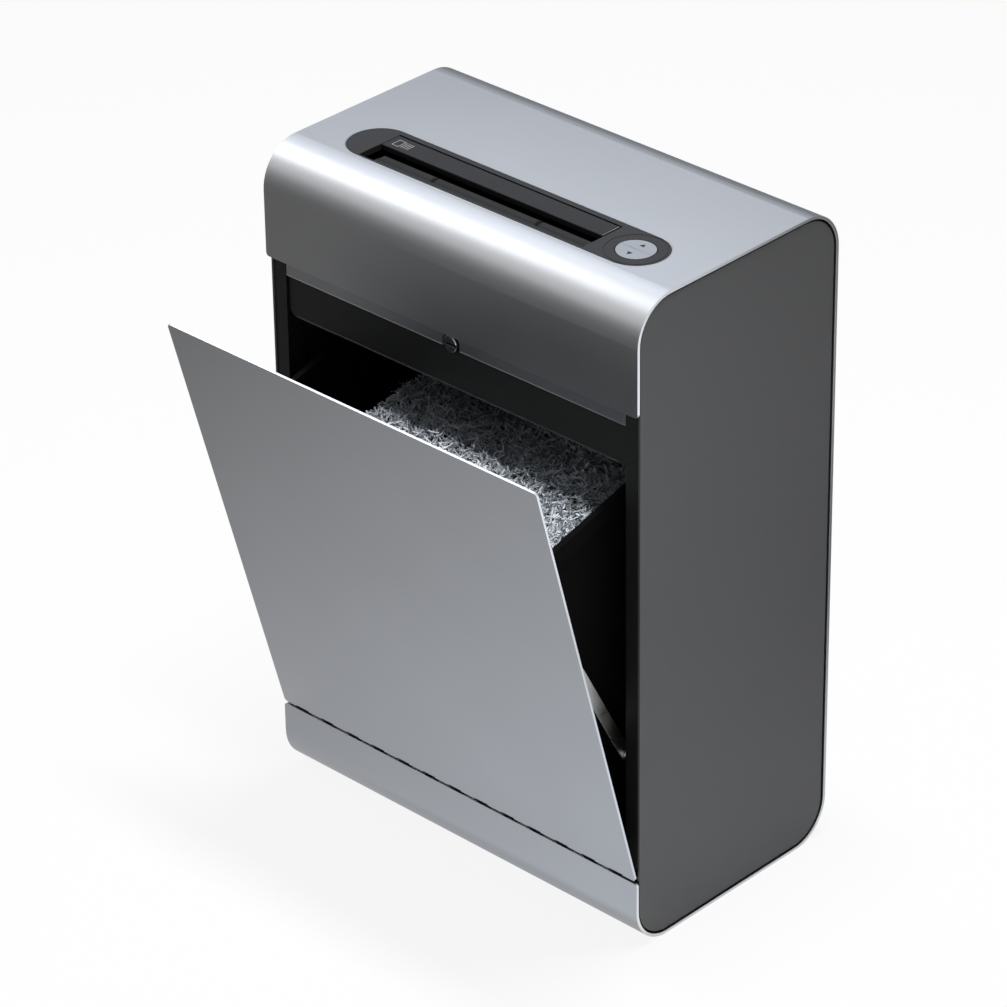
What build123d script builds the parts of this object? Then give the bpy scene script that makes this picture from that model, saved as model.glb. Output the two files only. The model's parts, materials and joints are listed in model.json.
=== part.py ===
from build123d import *
from math import acos, atan2, cos, degrees, hypot, pi, radians, sin, tan
import os

# Deskside paper shredder: an aluminium band bent round the cabinet, a front door that tilts out on a
# piano hinge with the waste bin behind it, and a cross-cut head under a flush feed panel in the top.
# Millimetres. The front faces -Y, +X is to the right of someone facing it, the floor is z = 0.
# The door is drawn tilted out, as it stands when the bin is looked into.

os.makedirs("parts", exist_ok=True)

# Cabinet
overall_width = 388.0
overall_depth = 225.0
overall_height = 566.0
band_sheet = 2.5
bend_radius = 36.0
apron_height = 92.5
lip_height = 62.5
band_corner = 3.0
panel_recess = 1.0
panel_sheet = 2.0
panel_gap = 1.8

# Front frame behind the door
frame_inset = 5.0
post_width = 13.0
post_depth = 18.0
post_sheet = 1.5
rail_sheet = 2.0
rail_drop = 13.5
rail_height = 36.0
rail_end_gap = 0.8
skirt_sheet = 3.0
skirt_drop = 48.5
skirt_corner = 8.0

# Door and piano hinge
door_sheet = 2.0
door_corner = 3.0
door_side_gap = 1.0
door_top_gap = 2.0
door_open_angle = 15.3
knuckle_radius = 2.5
knuckle_length = 13.975
knuckle_gap = 0.4
hinge_pin_radius = 1.25
hinge_leaf = 1.0
hinge_leaf_height = 20.0
hinge_gap_half = 2.0
hinge_notch = 1.0
rivet_radius = 2.2
rivet_head = 0.8
rivet_count = 7

# Bin, its carrier and the shreds
carrier_sheet = 1.5
carrier_standoff = 5.5
carrier_side_gap = 10.0
carrier_height = 170.0
carrier_cheek = 40.0
carrier_chamfer = 10.0
bin_drop = 45.0
bin_rim_below_door = 97.0
bin_side_gap = 18.0
bin_depth = 164.0
bin_draft = 6.0
bin_wall = 2.2
bin_corner = 14.0
bin_collar = 3.0
bin_collar_height = 13.0
shreds_clear = 0.4

# Door stay
stay_sheet = 2.0
stay_width = 10.0
stay_post_gap = 12.0
stay_pivot_depth = 17.0
stay_pivot_height = 98.5
stay_pin_depth = 6.0
stay_pin_height = 230.0
stay_pivot_radius = 2.0
stay_pin_radius = 1.5
stay_slot_play = 1.0
stay_ear = 1.5

# Feed panel, guide and safety flap
feed_panel_setback = 66.3
feed_cap_margin = 61.6
feed_cap_radius = 26.2
feed_fit = 0.2
feed_flange = 2.5
feed_flange_margin = 4.0
feed_rim_chamfer = 0.5
feed_left_land = 1.4
feed_right_land = 31.9
feed_mouth_front = 24.4
feed_mouth_rear = 20.8
flap_thickness = 3.2
flap_gap = 1.5
flap_width = 19.3
flap_rod_radius = 1.4
flap_barrel_radius = 2.8
guide_rear = 4.8
guide_crest_drop = 2.2
guide_strip = 3.8
guide_strip_drop = 0.9
guide_groove = 1.8
guide_left_void = 10.5
guide_left_pad = 70.0
guide_right_pad = 53.9
throat_gap = 5.2
throat_wall = 2.0

# Rocker
rocker_radius = 15.4
rocker_height = 4.0
rocker_proud = 0.3
rocker_gap = 0.7
rocker_trunnion = 1.5
groove_radius = 24.0
groove_width = 0.8
groove_depth = 0.3

# Cutting head
head_plate = 3.0
head_side_gap = 0.5
head_plate_height = 95.0
head_plate_front = 5.5
head_plate_rear = 27.5
nip_drop = 68.0
shaft_spacing = 33.0
disc_radius = 18.5
core_radius = 11.0
journal_radius = 7.0
disc_pitch = 8.0
disc_width = 3.8
disc_end_gap = 3.0
bush_wall = 2.0
comb_bar = 6.0
comb_height = 20.0
comb_clear = 0.5
tie_rod_radius = 4.0
tray_floor = 3.0
tray_lift = 7.0
running_clearance = 0.05
fixed_clearance = 0.03
screw_head_radius = 4.0
screw_head = 2.5

# Gear train
gear_face = 10.0
gear_step = 1.5
sync_teeth = 18
drive_teeth = 56
idler_small_teeth = 14
idler_big_teeth = 60
motor_teeth = 12
drive_gear_radius = 35.0
idler_gear_radius = 30.0
gear_backlash = 0.2
motor_radius = 36.0
motor_length = 130.0
motor_spread = 77.0
motor_shaft_radius = 4.0
stud_radius = 5.0

# Latch
latch_tip_radius = 7.0
latch_tip_depth = 3.4
latch_tip_length = 9.0
latch_stem_radius = 4.0
latch_body = 20.0
latch_length = 30.0
latch_travel = 4.0
latch_drop = 9.5
striker_thickness = 1.0

# Power inlet and vents
inlet_margin = 82.0
inlet_drop = 86.0
inlet_width = 28.0
inlet_tall = 21.0
inlet_depth = 20.0
vent_width = 4.0
vent_tall = 34.0
vent_pitch = 10.0
vent_count = 13

# Places worked out from the sizes
half_width = overall_width / 2
front_y = -overall_depth / 2
back_y = overall_depth / 2
apron_z = overall_height - apron_height
inner_top = overall_height - band_sheet
panel_outer_x = half_width - panel_recess
panel_inner_x = panel_outer_x - panel_sheet
post_inner_x = panel_inner_x - post_width
post_y = front_y + frame_inset
rail_z = apron_z - rail_drop
skirt_y = post_y + rail_sheet
skirt_back = skirt_y + skirt_sheet
skirt_z = apron_z - skirt_drop
floor_z = skirt_z + tray_lift
deck_z = floor_z + tray_floor
tray_half = post_inner_x - rail_end_gap
feed_y = front_y + feed_panel_setback
feed_cap_x = half_width - feed_cap_margin
feed_mouth_left = feed_left_land - feed_cap_x
feed_mouth_right = feed_cap_x - feed_right_land
guide_split_left = feed_mouth_left + guide_left_pad
guide_split_right = feed_mouth_right - guide_right_pad
inlet_x = inlet_margin - half_width
inlet_height = overall_height - inlet_drop
bin_half_width = post_inner_x - bin_side_gap
carrier_width = 2 * (bin_half_width - carrier_side_gap)
stay_plane_x = post_inner_x - stay_post_gap
mouth_middle = (feed_mouth_left + feed_mouth_right) / 2
mouth_length = feed_mouth_right - feed_mouth_left
mouth_front_y = feed_y - feed_mouth_front
mouth_rear_y = feed_y + feed_mouth_rear
flap_front_y = mouth_rear_y - flap_gap - flap_width
guide_rear_y = feed_y - guide_rear
throat_y = (flap_front_y + guide_rear_y) / 2
nip_z = overall_height - nip_drop
throat_bottom = nip_z + disc_radius + 2.5
flange_under = inner_top - feed_flange

# The hinge axis lies just inside the door's closed place
axis_y = front_y + door_sheet + knuckle_radius
axis_z = lip_height + hinge_gap_half
tilt = radians(door_open_angle)
inward = (0, cos(tilt), sin(tilt))
upward = (0, -sin(tilt), cos(tilt))
door_outer = -knuckle_radius - door_sheet
door_inner = -knuckle_radius
door_top = apron_z - door_top_gap - axis_z
door_half = half_width - door_side_gap
bin_rim_height = door_top - bin_rim_below_door


def front_plane(y):
    """Upright plane facing the front, with local axes X and Z."""
    return Plane(origin=(0, y, 0), x_dir=(1, 0, 0), z_dir=(0, -1, 0))


def side_plane(x, y=0.0, z=0.0):
    """Plane across the width, with local axes Y and Z."""
    return Plane(origin=(x, y, z), x_dir=(0, 1, 0), z_dir=(1, 0, 0))


def door_point(depth, height):
    """Y and Z of a point given by its depth behind the hinge axis and height along the tilted door."""
    return (axis_y + depth * inward[1] + height * upward[1],
            axis_z + depth * inward[2] + height * upward[2])


def door_face(depth):
    """Plane parallel to the door, with local axes X and height along the door; it faces outwards."""
    return Plane(origin=(0, *door_point(depth, 0)), x_dir=(1, 0, 0), z_dir=tuple(-v for v in inward))


def door_side(x):
    """Plane across the door, with local axes depth and height."""
    return Plane(origin=(x, axis_y, axis_z), x_dir=inward, z_dir=(1, 0, 0))


def door_level(height):
    """Plane square to the door at a height along it, with local axes X and depth."""
    return Plane(origin=(0, *door_point(0, height)), x_dir=(1, 0, 0), z_dir=upward)


def finish(piece, name):
    """Label a finished piece and write it out."""
    piece.part.label = name
    export_step(piece.part, f"parts/{name}.step")


# Wrap band: apron, top, back, bottom and lip in one bent sheet
with BuildPart() as wrap_shell:
    with BuildSketch(side_plane(-half_width)):
        with Locations((0, overall_height / 2)):
            RectangleRounded(overall_depth, overall_height, bend_radius)
            RectangleRounded(overall_depth - 2 * band_sheet, overall_height - 2 * band_sheet,
                             bend_radius - band_sheet, mode=Mode.SUBTRACT)
        with Locations((front_y, (lip_height + apron_z) / 2)):
            Rectangle(2 * bend_radius, apron_z - lip_height, mode=Mode.SUBTRACT)
    extrude(amount=overall_width)
    mouth_corners = wrap_shell.edges().filter_by(Axis.Y).filter_by(lambda e: abs(e.length - band_sheet) < 1e-4)
    fillet(mouth_corners, band_corner)
    with BuildSketch(Plane.XY.offset(overall_height)):
        with Locations((0, feed_y)):
            SlotCenterToCenter(2 * feed_cap_x, 2 * feed_cap_radius)
    extrude(amount=-2 * band_sheet, mode=Mode.SUBTRACT)
    rim_edges = wrap_shell.faces().filter_by(Axis.Z).sort_by(Axis.Z)[-1].inner_wires()[0].edges()
    chamfer(rim_edges, feed_rim_chamfer)
    with BuildSketch(front_plane(back_y)):
        with Locations((inlet_x, inlet_height)):
            Rectangle(inlet_width + 2 * feed_fit, inlet_tall + 2 * feed_fit)
        with Locations((mouth_middle + motor_length / 2, inlet_height)):
            with GridLocations(vent_pitch, vent_tall, vent_count, 1):
                SlotOverall(vent_tall, vent_width, rotation=90)
    extrude(amount=2 * band_sheet, mode=Mode.SUBTRACT)
finish(wrap_shell, "wrap_shell")

# Side panels, set inside the band's cut edges
for name, x in (("left_side_panel", -panel_outer_x), ("right_side_panel", panel_inner_x)):
    with BuildPart() as side_panel:
        with BuildSketch(side_plane(x)):
            with Locations((0, overall_height / 2)):
                RectangleRounded(overall_depth - 2 * (band_sheet + panel_gap),
                                 overall_height - 2 * (band_sheet + panel_gap),
                                 bend_radius - band_sheet - panel_gap)
        extrude(amount=panel_sheet)
    finish(side_panel, name)

# Corner brackets that hold each side panel to the band
bracket_leg = 16.0
bracket_sheet = 1.5
bracket_length = 24.0
bracket_y = overall_depth / 2 - bend_radius - bracket_length
for name, side in (("left_panel_brackets", -1), ("right_panel_brackets", 1)):
    inner = side * panel_inner_x
    with BuildPart() as brackets:
        for y in (-bracket_y, bracket_y):
            for base, rise in ((band_sheet, 1), (inner_top, -1)):
                with BuildSketch(front_plane(y + bracket_length / 2)):
                    with BuildLine():
                        Polyline((inner, base), (inner - side * bracket_leg, base),
                                 (inner - side * bracket_leg, base + rise * bracket_sheet),
                                 (inner - side * bracket_sheet, base + rise * bracket_sheet),
                                 (inner - side * bracket_sheet, base + rise * bracket_leg),
                                 (inner, base + rise * bracket_leg), close=True)
                    make_face()
                extrude(amount=bracket_length)
    finish(brackets, name)

# Front posts: channels on the side panels that the door closes against, from the hinge upwards
post_low = axis_z + 3 * knuckle_radius
for name, side in (("left_post", -1), ("right_post", 1)):
    with BuildPart() as post:
        with BuildSketch(Plane.XY.offset(post_low)):
            with Locations((side * (post_inner_x + post_width / 2), post_y + post_depth / 2)):
                Rectangle(post_width, post_depth)
            with Locations((side * (post_inner_x + post_width / 2), post_y + post_sheet + post_depth / 2)):
                Rectangle(post_width - 2 * post_sheet, post_depth, mode=Mode.SUBTRACT)
        extrude(amount=overall_height - bend_radius - post_low)
    finish(post, name)

# Head tray: the dark skirt under the apron and the floor that carries the cutting head
front_roller_y = throat_y - shaft_spacing / 2
rear_roller_y = throat_y + shaft_spacing / 2
head_left = feed_mouth_left + head_side_gap
head_right = feed_mouth_right - head_side_gap
tray_rear_y = back_y - band_sheet - 15.0
latch_z = apron_z - latch_drop
latch_hole = latch_tip_radius + 0.5
tray_wall_height = 12.0
skirt_height = rail_height + rail_drop + 14.0
with BuildPart() as head_tray:
    with BuildSketch(front_plane(skirt_y)) as skirt_outline:
        with Locations((0, skirt_z + skirt_height / 2)):
            Rectangle(2 * tray_half, skirt_height)
        fillet(skirt_outline.vertices().group_by(Axis.Z)[0], skirt_corner)
        with Locations((0, latch_z)):
            Circle(latch_hole, mode=Mode.SUBTRACT)
    extrude(amount=-skirt_sheet)
    with BuildSketch(Plane.XY.offset(floor_z)):
        with Locations((0, (skirt_y + tray_rear_y) / 2)):
            Rectangle(2 * tray_half, tray_rear_y - skirt_y)
        with Locations(((head_left + head_right) / 2, throat_y)):
            Rectangle(head_right - head_left - 6.0, shaft_spacing + 2 * disc_radius + 6.0, mode=Mode.SUBTRACT)
    extrude(amount=tray_floor)
    with BuildSketch(Plane.XY.offset(deck_z)):
        with Locations((0, (skirt_back + tray_rear_y) / 2)):
            with GridLocations(2 * tray_half - tray_floor, 1, 2, 1):
                Rectangle(tray_floor, tray_rear_y - skirt_back)
    extrude(amount=tray_wall_height)
finish(head_tray, "head_tray")

# Angle rails on the side panels that carry the tray
rail_leg = panel_inner_x - tray_half + 6.0
rail_angle_sheet = 2.0
tray_rail_front = post_y + post_depth + 1.0
for name, side in (("left_tray_rail", -1), ("right_tray_rail", 1)):
    inner = side * panel_inner_x
    with BuildPart() as tray_rail:
        with BuildSketch(front_plane(tray_rail_front)):
            with BuildLine():
                Polyline((inner, floor_z), (inner - side * rail_leg, floor_z),
                         (inner - side * rail_leg, floor_z - rail_angle_sheet),
                         (inner - side * rail_angle_sheet, floor_z - rail_angle_sheet),
                         (inner - side * rail_angle_sheet, floor_z - rail_leg),
                         (inner, floor_z - rail_leg), close=True)
            make_face()
        extrude(amount=tray_rail_front - tray_rear_y)
    finish(tray_rail, name)

# Door stop rail: bright strip on the skirt, notched for the latch
notch_half = latch_tip_radius + 2.0
with BuildPart() as door_stop_rail:
    with BuildSketch(front_plane(post_y)) as rail_outline:
        with Locations((0, rail_z + rail_height / 2)):
            Rectangle(2 * tray_half, rail_height)
        with Locations((0, latch_z)):
            Circle(notch_half, mode=Mode.SUBTRACT)
        with Locations((0, (rail_z + latch_z) / 2)):
            Rectangle(2 * notch_half, latch_z - rail_z, mode=Mode.SUBTRACT)
    extrude(amount=-rail_sheet)
finish(door_stop_rail, "door_stop_rail")

# Latch: a housing behind the skirt and a sprung magnetic tip with a slot across its face
latch_tip_y = front_y + latch_tip_depth
latch_back_y = skirt_back + latch_length
latch_bore_end = latch_tip_y + latch_tip_length + latch_travel + 1.0
with BuildPart() as latch_housing:
    with BuildSketch(front_plane(skirt_back)):
        with Locations((0, latch_z)):
            RectangleRounded(latch_body, latch_body, 2.0)
            Circle(latch_stem_radius + running_clearance, mode=Mode.SUBTRACT)
    extrude(amount=-latch_length)
    with BuildSketch(front_plane(skirt_back)):
        with Locations((0, latch_z)):
            Circle(latch_hole)
    extrude(amount=skirt_back - latch_bore_end, mode=Mode.SUBTRACT)
finish(latch_housing, "latch_housing")

latch_slot_width = 2.0
latch_slot_depth = 1.2
with BuildPart() as latch_plunger:
    with BuildSketch(front_plane(latch_tip_y)):
        with Locations((0, latch_z)):
            Circle(latch_tip_radius)
    extrude(amount=-latch_tip_length)
    chamfer(latch_plunger.edges().group_by(Axis.Y)[0], 0.6)
    with BuildSketch(front_plane(latch_tip_y)):
        with Locations((0, latch_z)):
            Rectangle(3 * latch_tip_radius, latch_slot_width)
    extrude(amount=-latch_slot_depth, mode=Mode.SUBTRACT)
    with BuildSketch(front_plane(latch_tip_y + latch_tip_length)):
        with Locations((0, latch_z)):
            Circle(latch_stem_radius)
    extrude(amount=latch_tip_y + latch_tip_length - latch_back_y - 2.0)
finish(latch_plunger, "latch_plunger")

# Piano hinge: leaves with alternate knuckles on one pin
hinge_length = 2 * (panel_inner_x - panel_gap)
knuckle_step = knuckle_length + knuckle_gap
knuckle_total = 2 * int((hinge_length / knuckle_step - 1) // 2) + 1
knuckle_start = -(knuckle_total * knuckle_step - knuckle_gap) / 2
leaf_clear = knuckle_radius + 0.7
hinge_bore = hinge_pin_radius + running_clearance


def hinge_leaf_part(plane_at, first, inner_side, leaf_low, leaf_high):
    """A leaf between two heights from the axis, with every second knuckle from the first one on."""
    starts = [knuckle_start + i * knuckle_step for i in range(first, knuckle_total, 2)]
    near, far = (leaf_low, leaf_high) if abs(leaf_low) < abs(leaf_high) else (leaf_high, leaf_low)
    with BuildPart() as leaf:
        with BuildSketch(plane_at(-hinge_length / 2)):
            with Locations((inner_side - hinge_leaf / 2, (near + far) / 2)):
                Rectangle(hinge_leaf, abs(far - near))
        extrude(amount=hinge_length)
        with BuildSketch(*[plane_at(x) for x in starts]):
            Circle(knuckle_radius)
            with Locations((inner_side - hinge_leaf / 2, near / 2)):
                Rectangle(hinge_leaf, abs(near))
            Circle(hinge_bore, mode=Mode.SUBTRACT)
        extrude(amount=knuckle_length)
    return leaf


leaf_base = front_y + band_sheet + hinge_leaf - axis_y
hinge_frame_leaf = hinge_leaf_part(lambda x: side_plane(x, axis_y, axis_z), 0, leaf_base,
                                   -leaf_clear - hinge_leaf_height, -leaf_clear)
finish(hinge_frame_leaf, "hinge_frame_leaf")
hinge_door_leaf = hinge_leaf_part(door_side, 1, door_inner + hinge_leaf, leaf_clear, leaf_clear + hinge_leaf_height)
finish(hinge_door_leaf, "hinge_door_leaf")

with BuildPart() as hinge_pin:
    with BuildSketch(side_plane(-hinge_length / 2, axis_y, axis_z)):
        Circle(hinge_pin_radius)
    extrude(amount=hinge_length)
finish(hinge_pin, "hinge_pin")

# Rivet heads along each leaf
rivet_pitch = hinge_length / rivet_count
rivet_mid = leaf_clear + hinge_leaf_height / 2
for name, plane, level in (("frame_leaf_rivets", front_plane(axis_y + leaf_base), axis_z - rivet_mid),
                           ("door_leaf_rivets", door_face(door_inner + hinge_leaf), rivet_mid)):
    with BuildPart() as rivets:
        with BuildSketch(plane):
            with Locations((0, level)):
                with GridLocations(rivet_pitch, 1, rivet_count, 1):
                    Circle(rivet_radius)
        extrude(amount=-rivet_head)
    finish(rivets, name)

# Door sheet, nicked along its lower edge at every second knuckle
with BuildPart() as door_panel:
    with BuildSketch(door_face(door_outer)):
        with Locations((0, (hinge_gap_half + door_top) / 2)):
            RectangleRounded(2 * door_half, door_top - hinge_gap_half, door_corner)
        with Locations((0, hinge_gap_half)):
            with GridLocations(2 * knuckle_step, 1, (knuckle_total + 1) // 2, 1):
                Rectangle(knuckle_length, 2 * hinge_notch, mode=Mode.SUBTRACT)
    extrude(amount=-door_sheet)
finish(door_panel, "door_panel")

striker_width = 32.0
striker_height = 12.0
striker_level = latch_z - axis_z
with BuildPart() as striker_plate:
    with BuildSketch(door_face(door_inner)):
        with Locations((0, striker_level - 0.5)):
            RectangleRounded(striker_width, striker_height, 2.0)
    extrude(amount=-striker_thickness)
finish(striker_plate, "striker_plate")

# Bin carrier: bent tray on stand-offs behind the door
carrier_front = door_inner + carrier_standoff
bin_front = carrier_front + carrier_sheet + 1.0
cheek_draft = bin_draft * (1 - carrier_cheek / (bin_rim_height + bin_drop))
carrier_back = bin_front + bin_depth - bin_collar - cheek_draft + 1.0
carrier_under = -bin_drop - carrier_sheet
chamfer_inside = carrier_chamfer + carrier_sheet * tan(pi / 8)
with BuildPart() as bin_carrier:
    with BuildSketch(door_side(-carrier_width / 2)):
        with BuildLine():
            Polyline((carrier_front, carrier_height - bin_drop), (carrier_front, carrier_under + carrier_chamfer),
                     (carrier_front + carrier_chamfer, carrier_under), (carrier_back + carrier_sheet, carrier_under),
                     (carrier_back + carrier_sheet, -bin_drop + carrier_cheek),
                     (carrier_back, -bin_drop + carrier_cheek), (carrier_back, -bin_drop),
                     (carrier_front + chamfer_inside, -bin_drop),
                     (carrier_front + carrier_sheet, carrier_under + chamfer_inside),
                     (carrier_front + carrier_sheet, carrier_height - bin_drop), close=True)
        make_face()
    extrude(amount=carrier_width)
finish(bin_carrier, "bin_carrier")

spacer_radius = 6.0
spacer_edge = 30.0
spacer_rise = 75.0
spacer_pitch = 60.0
with BuildPart() as carrier_spacers:
    with BuildSketch(door_face(door_inner)):
        with Locations((0, spacer_rise)):
            with GridLocations(carrier_width - 2 * spacer_edge, spacer_pitch, 2, 2):
                Circle(spacer_radius)
    extrude(amount=-carrier_standoff)
finish(carrier_spacers, "carrier_spacers")

# Waste bin: drafted tub with a stepped collar at the rim
bin_middle = bin_front + bin_depth / 2


def tub_section(height, shrink, corner):
    """Outline of the tub at a height, smaller all round by shrink and narrower towards the floor."""
    inset = shrink + bin_draft * (bin_rim_height - height) / (bin_rim_height + bin_drop)
    with BuildSketch(door_level(height)) as section:
        with Locations((0, bin_middle)):
            RectangleRounded(2 * (bin_half_width - inset), bin_depth - 2 * inset, corner)
    return section.sketch


with BuildPart() as bin_tub:
    loft([tub_section(-bin_drop, bin_collar, bin_corner), tub_section(bin_rim_height, bin_collar, bin_corner)])
    with BuildSketch(door_level(bin_rim_height - bin_collar_height)):
        with Locations((0, bin_middle)):
            RectangleRounded(2 * bin_half_width, bin_depth, bin_corner + bin_collar)
    extrude(amount=bin_collar_height)
    hollow = [tub_section(height, bin_collar + bin_wall, bin_corner - bin_wall)
              for height in (bin_wall - bin_drop, bin_rim_height + 1.0)]
    loft(hollow, mode=Mode.SUBTRACT)
finish(bin_tub, "waste_bin")

# Heap of shreds in the bin: high to the right of the middle, fallen away on the left
heap_inset = bin_collar + bin_wall + shreds_clear
heap_half = bin_half_width - heap_inset - bin_draft
heap_low = bin_wall + shreds_clear - bin_drop
heap_top = bin_rim_height - 6.0
heap_crest_in = 86.0
heap_slope_in = 36.0
heap_left_drop = 170.0
heap_slope_rise = 25.0
heap_crest_drop = 18.0
heap_right_drop = 4.0
with BuildPart() as paper_shreds:
    with BuildSketch(door_face(bin_front + heap_inset + bin_draft)):
        with BuildLine():
            Polyline((-heap_half, heap_low), (-heap_half, heap_top - heap_left_drop),
                     (heap_slope_in - heap_half, heap_top - heap_left_drop + heap_slope_rise),
                     (heap_crest_in - heap_half, heap_top - heap_crest_drop), (0.0, heap_top),
                     (heap_half, heap_top - heap_right_drop), (heap_half, heap_low), close=True)
        make_face()
    extrude(amount=2 * (heap_inset + bin_draft) - bin_depth)
    fillet(paper_shreds.edges().filter_by(Axis((0, 0, 0), upward)), bin_corner)
finish(paper_shreds, "paper_shreds")

# Door stay: a slotted strap pivoted on the right post, with the door's pin in its slot
pivot_y = front_y + stay_pivot_depth
pivot_z = axis_z + stay_pivot_height
pin_y, pin_z = door_point(stay_pin_depth, stay_pin_height)
open_reach = hypot(pin_y - pivot_y, pin_z - pivot_z)
closed_reach = hypot(axis_y + stay_pin_depth - pivot_y, stay_pin_height - stay_pivot_height)
stay_lean = atan2(pivot_y - pin_y, pin_z - pivot_z)
stay_closed_lean = atan2(pivot_y - axis_y - stay_pin_depth, stay_pin_height - stay_pivot_height)
slot_half = stay_pin_radius + stay_slot_play
slot_low = closed_reach - 0.6
slot_high = open_reach + 0.2
stay_plane = Plane(origin=(stay_plane_x, pivot_y, pivot_z), x_dir=(0, -sin(stay_lean), cos(stay_lean)),
                   z_dir=(1, 0, 0))
with BuildPart() as stay_arm:
    with BuildSketch(stay_plane):
        with Locations(((slot_high + slot_half + 2.5 - stay_width / 2) / 2, 0)):
            SlotOverall(slot_high + slot_half + 2.5 + stay_width / 2, stay_width)
        Circle(stay_pivot_radius + running_clearance, mode=Mode.SUBTRACT)
        with Locations(((slot_low + slot_high) / 2, 0)):
            SlotCenterToCenter(slot_high - slot_low, 2 * slot_half, mode=Mode.SUBTRACT)
    extrude(amount=stay_sheet)
finish(stay_arm, "stay_arm")

# Shoulder rivet on the post: head, shank through the strap, collar to the post
stay_head_radius = 4.0
stay_head = 1.4
washer_gap = 0.3
with BuildPart() as stay_pivot:
    with BuildSketch(side_plane(stay_plane_x - washer_gap - stay_head, pivot_y, pivot_z)):
        Circle(stay_head_radius)
    extrude(amount=stay_head)
    with BuildSketch(side_plane(stay_plane_x - washer_gap, pivot_y, pivot_z)):
        Circle(stay_pivot_radius)
    extrude(amount=stay_sheet + 2 * washer_gap)
    with BuildSketch(side_plane(stay_plane_x + stay_sheet + washer_gap, pivot_y, pivot_z)):
        Circle(stay_head_radius)
    extrude(amount=post_inner_x - stay_plane_x - stay_sheet - washer_gap)
finish(stay_pivot, "stay_pivot")

# Ear on the door with the pin that runs in the slot
ear_x = stay_plane_x + stay_sheet + 2.0
ear_tall = 16.0
ear_foot = 14.0
with BuildPart() as stay_door_ear:
    with BuildSketch(door_side(ear_x)):
        with Locations(((door_inner + stay_pin_depth + 4.0) / 2, stay_pin_height)):
            Rectangle(stay_pin_depth + 4.0 - door_inner, ear_tall)
    extrude(amount=stay_ear)
    with BuildSketch(door_side(ear_x)):
        with Locations((door_inner + stay_ear / 2, stay_pin_height)):
            Rectangle(stay_ear, ear_tall)
    extrude(amount=ear_foot)
    with BuildSketch(door_side(stay_plane_x - 2.0)):
        with Locations((stay_pin_depth, stay_pin_height)):
            Circle(stay_pin_radius)
    extrude(amount=ear_x - stay_plane_x + 2.0)
finish(stay_door_ear, "stay_door_ear")

# Feed panel: flush stadium inlay with the mouth, the rocker's hole and cheeks for the flap rod
flange_front = overall_depth / 2 - bend_radius - 0.2
flange_rear = -feed_y - feed_cap_radius - feed_flange_margin - 2.0
flange_corner = 20.0
rod_y = mouth_rear_y - flap_gap - 2.0 * flap_barrel_radius + 1.5
rod_z = overall_height - flap_thickness - flap_barrel_radius
cheek = 3.0
cheek_half = 3.5
cheek_drop = rod_z - flap_rod_radius - 2.5
with BuildPart() as feed_panel:
    with BuildSketch(Plane.XY.offset(flange_under)):
        with Locations((0, -(flange_front + flange_rear) / 2)):
            RectangleRounded(2 * (feed_cap_x + feed_cap_radius + feed_flange_margin),
                             flange_front - flange_rear, flange_corner)
    extrude(amount=feed_flange)
    with BuildSketch(Plane.XY.offset(inner_top)):
        with Locations((0, feed_y)):
            SlotCenterToCenter(2 * feed_cap_x, 2 * (feed_cap_radius - feed_fit))
    extrude(amount=band_sheet)
    with BuildSketch(Plane.XY.offset(cheek_drop)):
        for x in (feed_mouth_left - cheek / 2, feed_mouth_right + cheek / 2):
            with Locations((x, rod_y)):
                Rectangle(cheek, 2 * cheek_half)
    extrude(amount=flange_under - cheek_drop)
    with BuildSketch(Plane.XY.offset(overall_height)):
        with Locations((mouth_middle, (mouth_front_y + mouth_rear_y) / 2)):
            Rectangle(mouth_length, mouth_rear_y - mouth_front_y)
        with Locations((feed_cap_x, feed_y)):
            Circle(rocker_radius + rocker_gap)
    extrude(amount=flange_under - overall_height, mode=Mode.SUBTRACT)
    with BuildSketch(Plane.XY.offset(overall_height)):
        with Locations((feed_cap_x, feed_y)):
            Circle(groove_radius + groove_width / 2)
            Circle(groove_radius - groove_width / 2, mode=Mode.SUBTRACT)
    extrude(amount=-groove_depth, mode=Mode.SUBTRACT)
    with BuildSketch(side_plane(feed_mouth_left - cheek, rod_y, rod_z)):
        Circle(flap_rod_radius + running_clearance)
    extrude(amount=mouth_length + 2 * cheek, mode=Mode.SUBTRACT)
finish(feed_panel, "feed_panel")

with BuildPart() as flap_rod:
    with BuildSketch(side_plane(feed_mouth_left - cheek, rod_y, rod_z)):
        Circle(flap_rod_radius)
    extrude(amount=mouth_length + 2 * cheek)
finish(flap_rod, "flap_rod")

# Safety flap: flush bar over the rear of the mouth, hinged on the rod along its rear edge
flap_rear_y = mouth_rear_y - flap_gap
flap_left = feed_mouth_left + 0.6
flap_right = feed_mouth_right - flap_gap
flap_hem = 1.4
with BuildPart() as safety_flap:
    with BuildSketch(side_plane(flap_left)):
        with BuildLine():
            Polyline((flap_front_y, overall_height), (flap_rear_y, overall_height),
                     (flap_rear_y, overall_height - flap_thickness),
                     (flap_front_y + 2.5, overall_height - flap_thickness),
                     (flap_front_y + 1.5, overall_height - flap_thickness - flap_hem),
                     (flap_front_y, overall_height - flap_thickness - flap_hem), close=True)
        make_face()
        with Locations((rod_y, rod_z)):
            Circle(flap_barrel_radius)
        with Locations((rod_y, (rod_z + overall_height - flap_thickness) / 2)):
            Rectangle(2 * flap_barrel_radius - 1.0, overall_height - flap_thickness - rod_z)
        with Locations((rod_y, rod_z)):
            Circle(flap_rod_radius + running_clearance, mode=Mode.SUBTRACT)
    extrude(amount=flap_right - flap_left)
    chamfer(safety_flap.edges().group_by(Axis.Z)[-1].filter_by(Axis.X), 0.4)
finish(safety_flap, "safety_flap")

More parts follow.
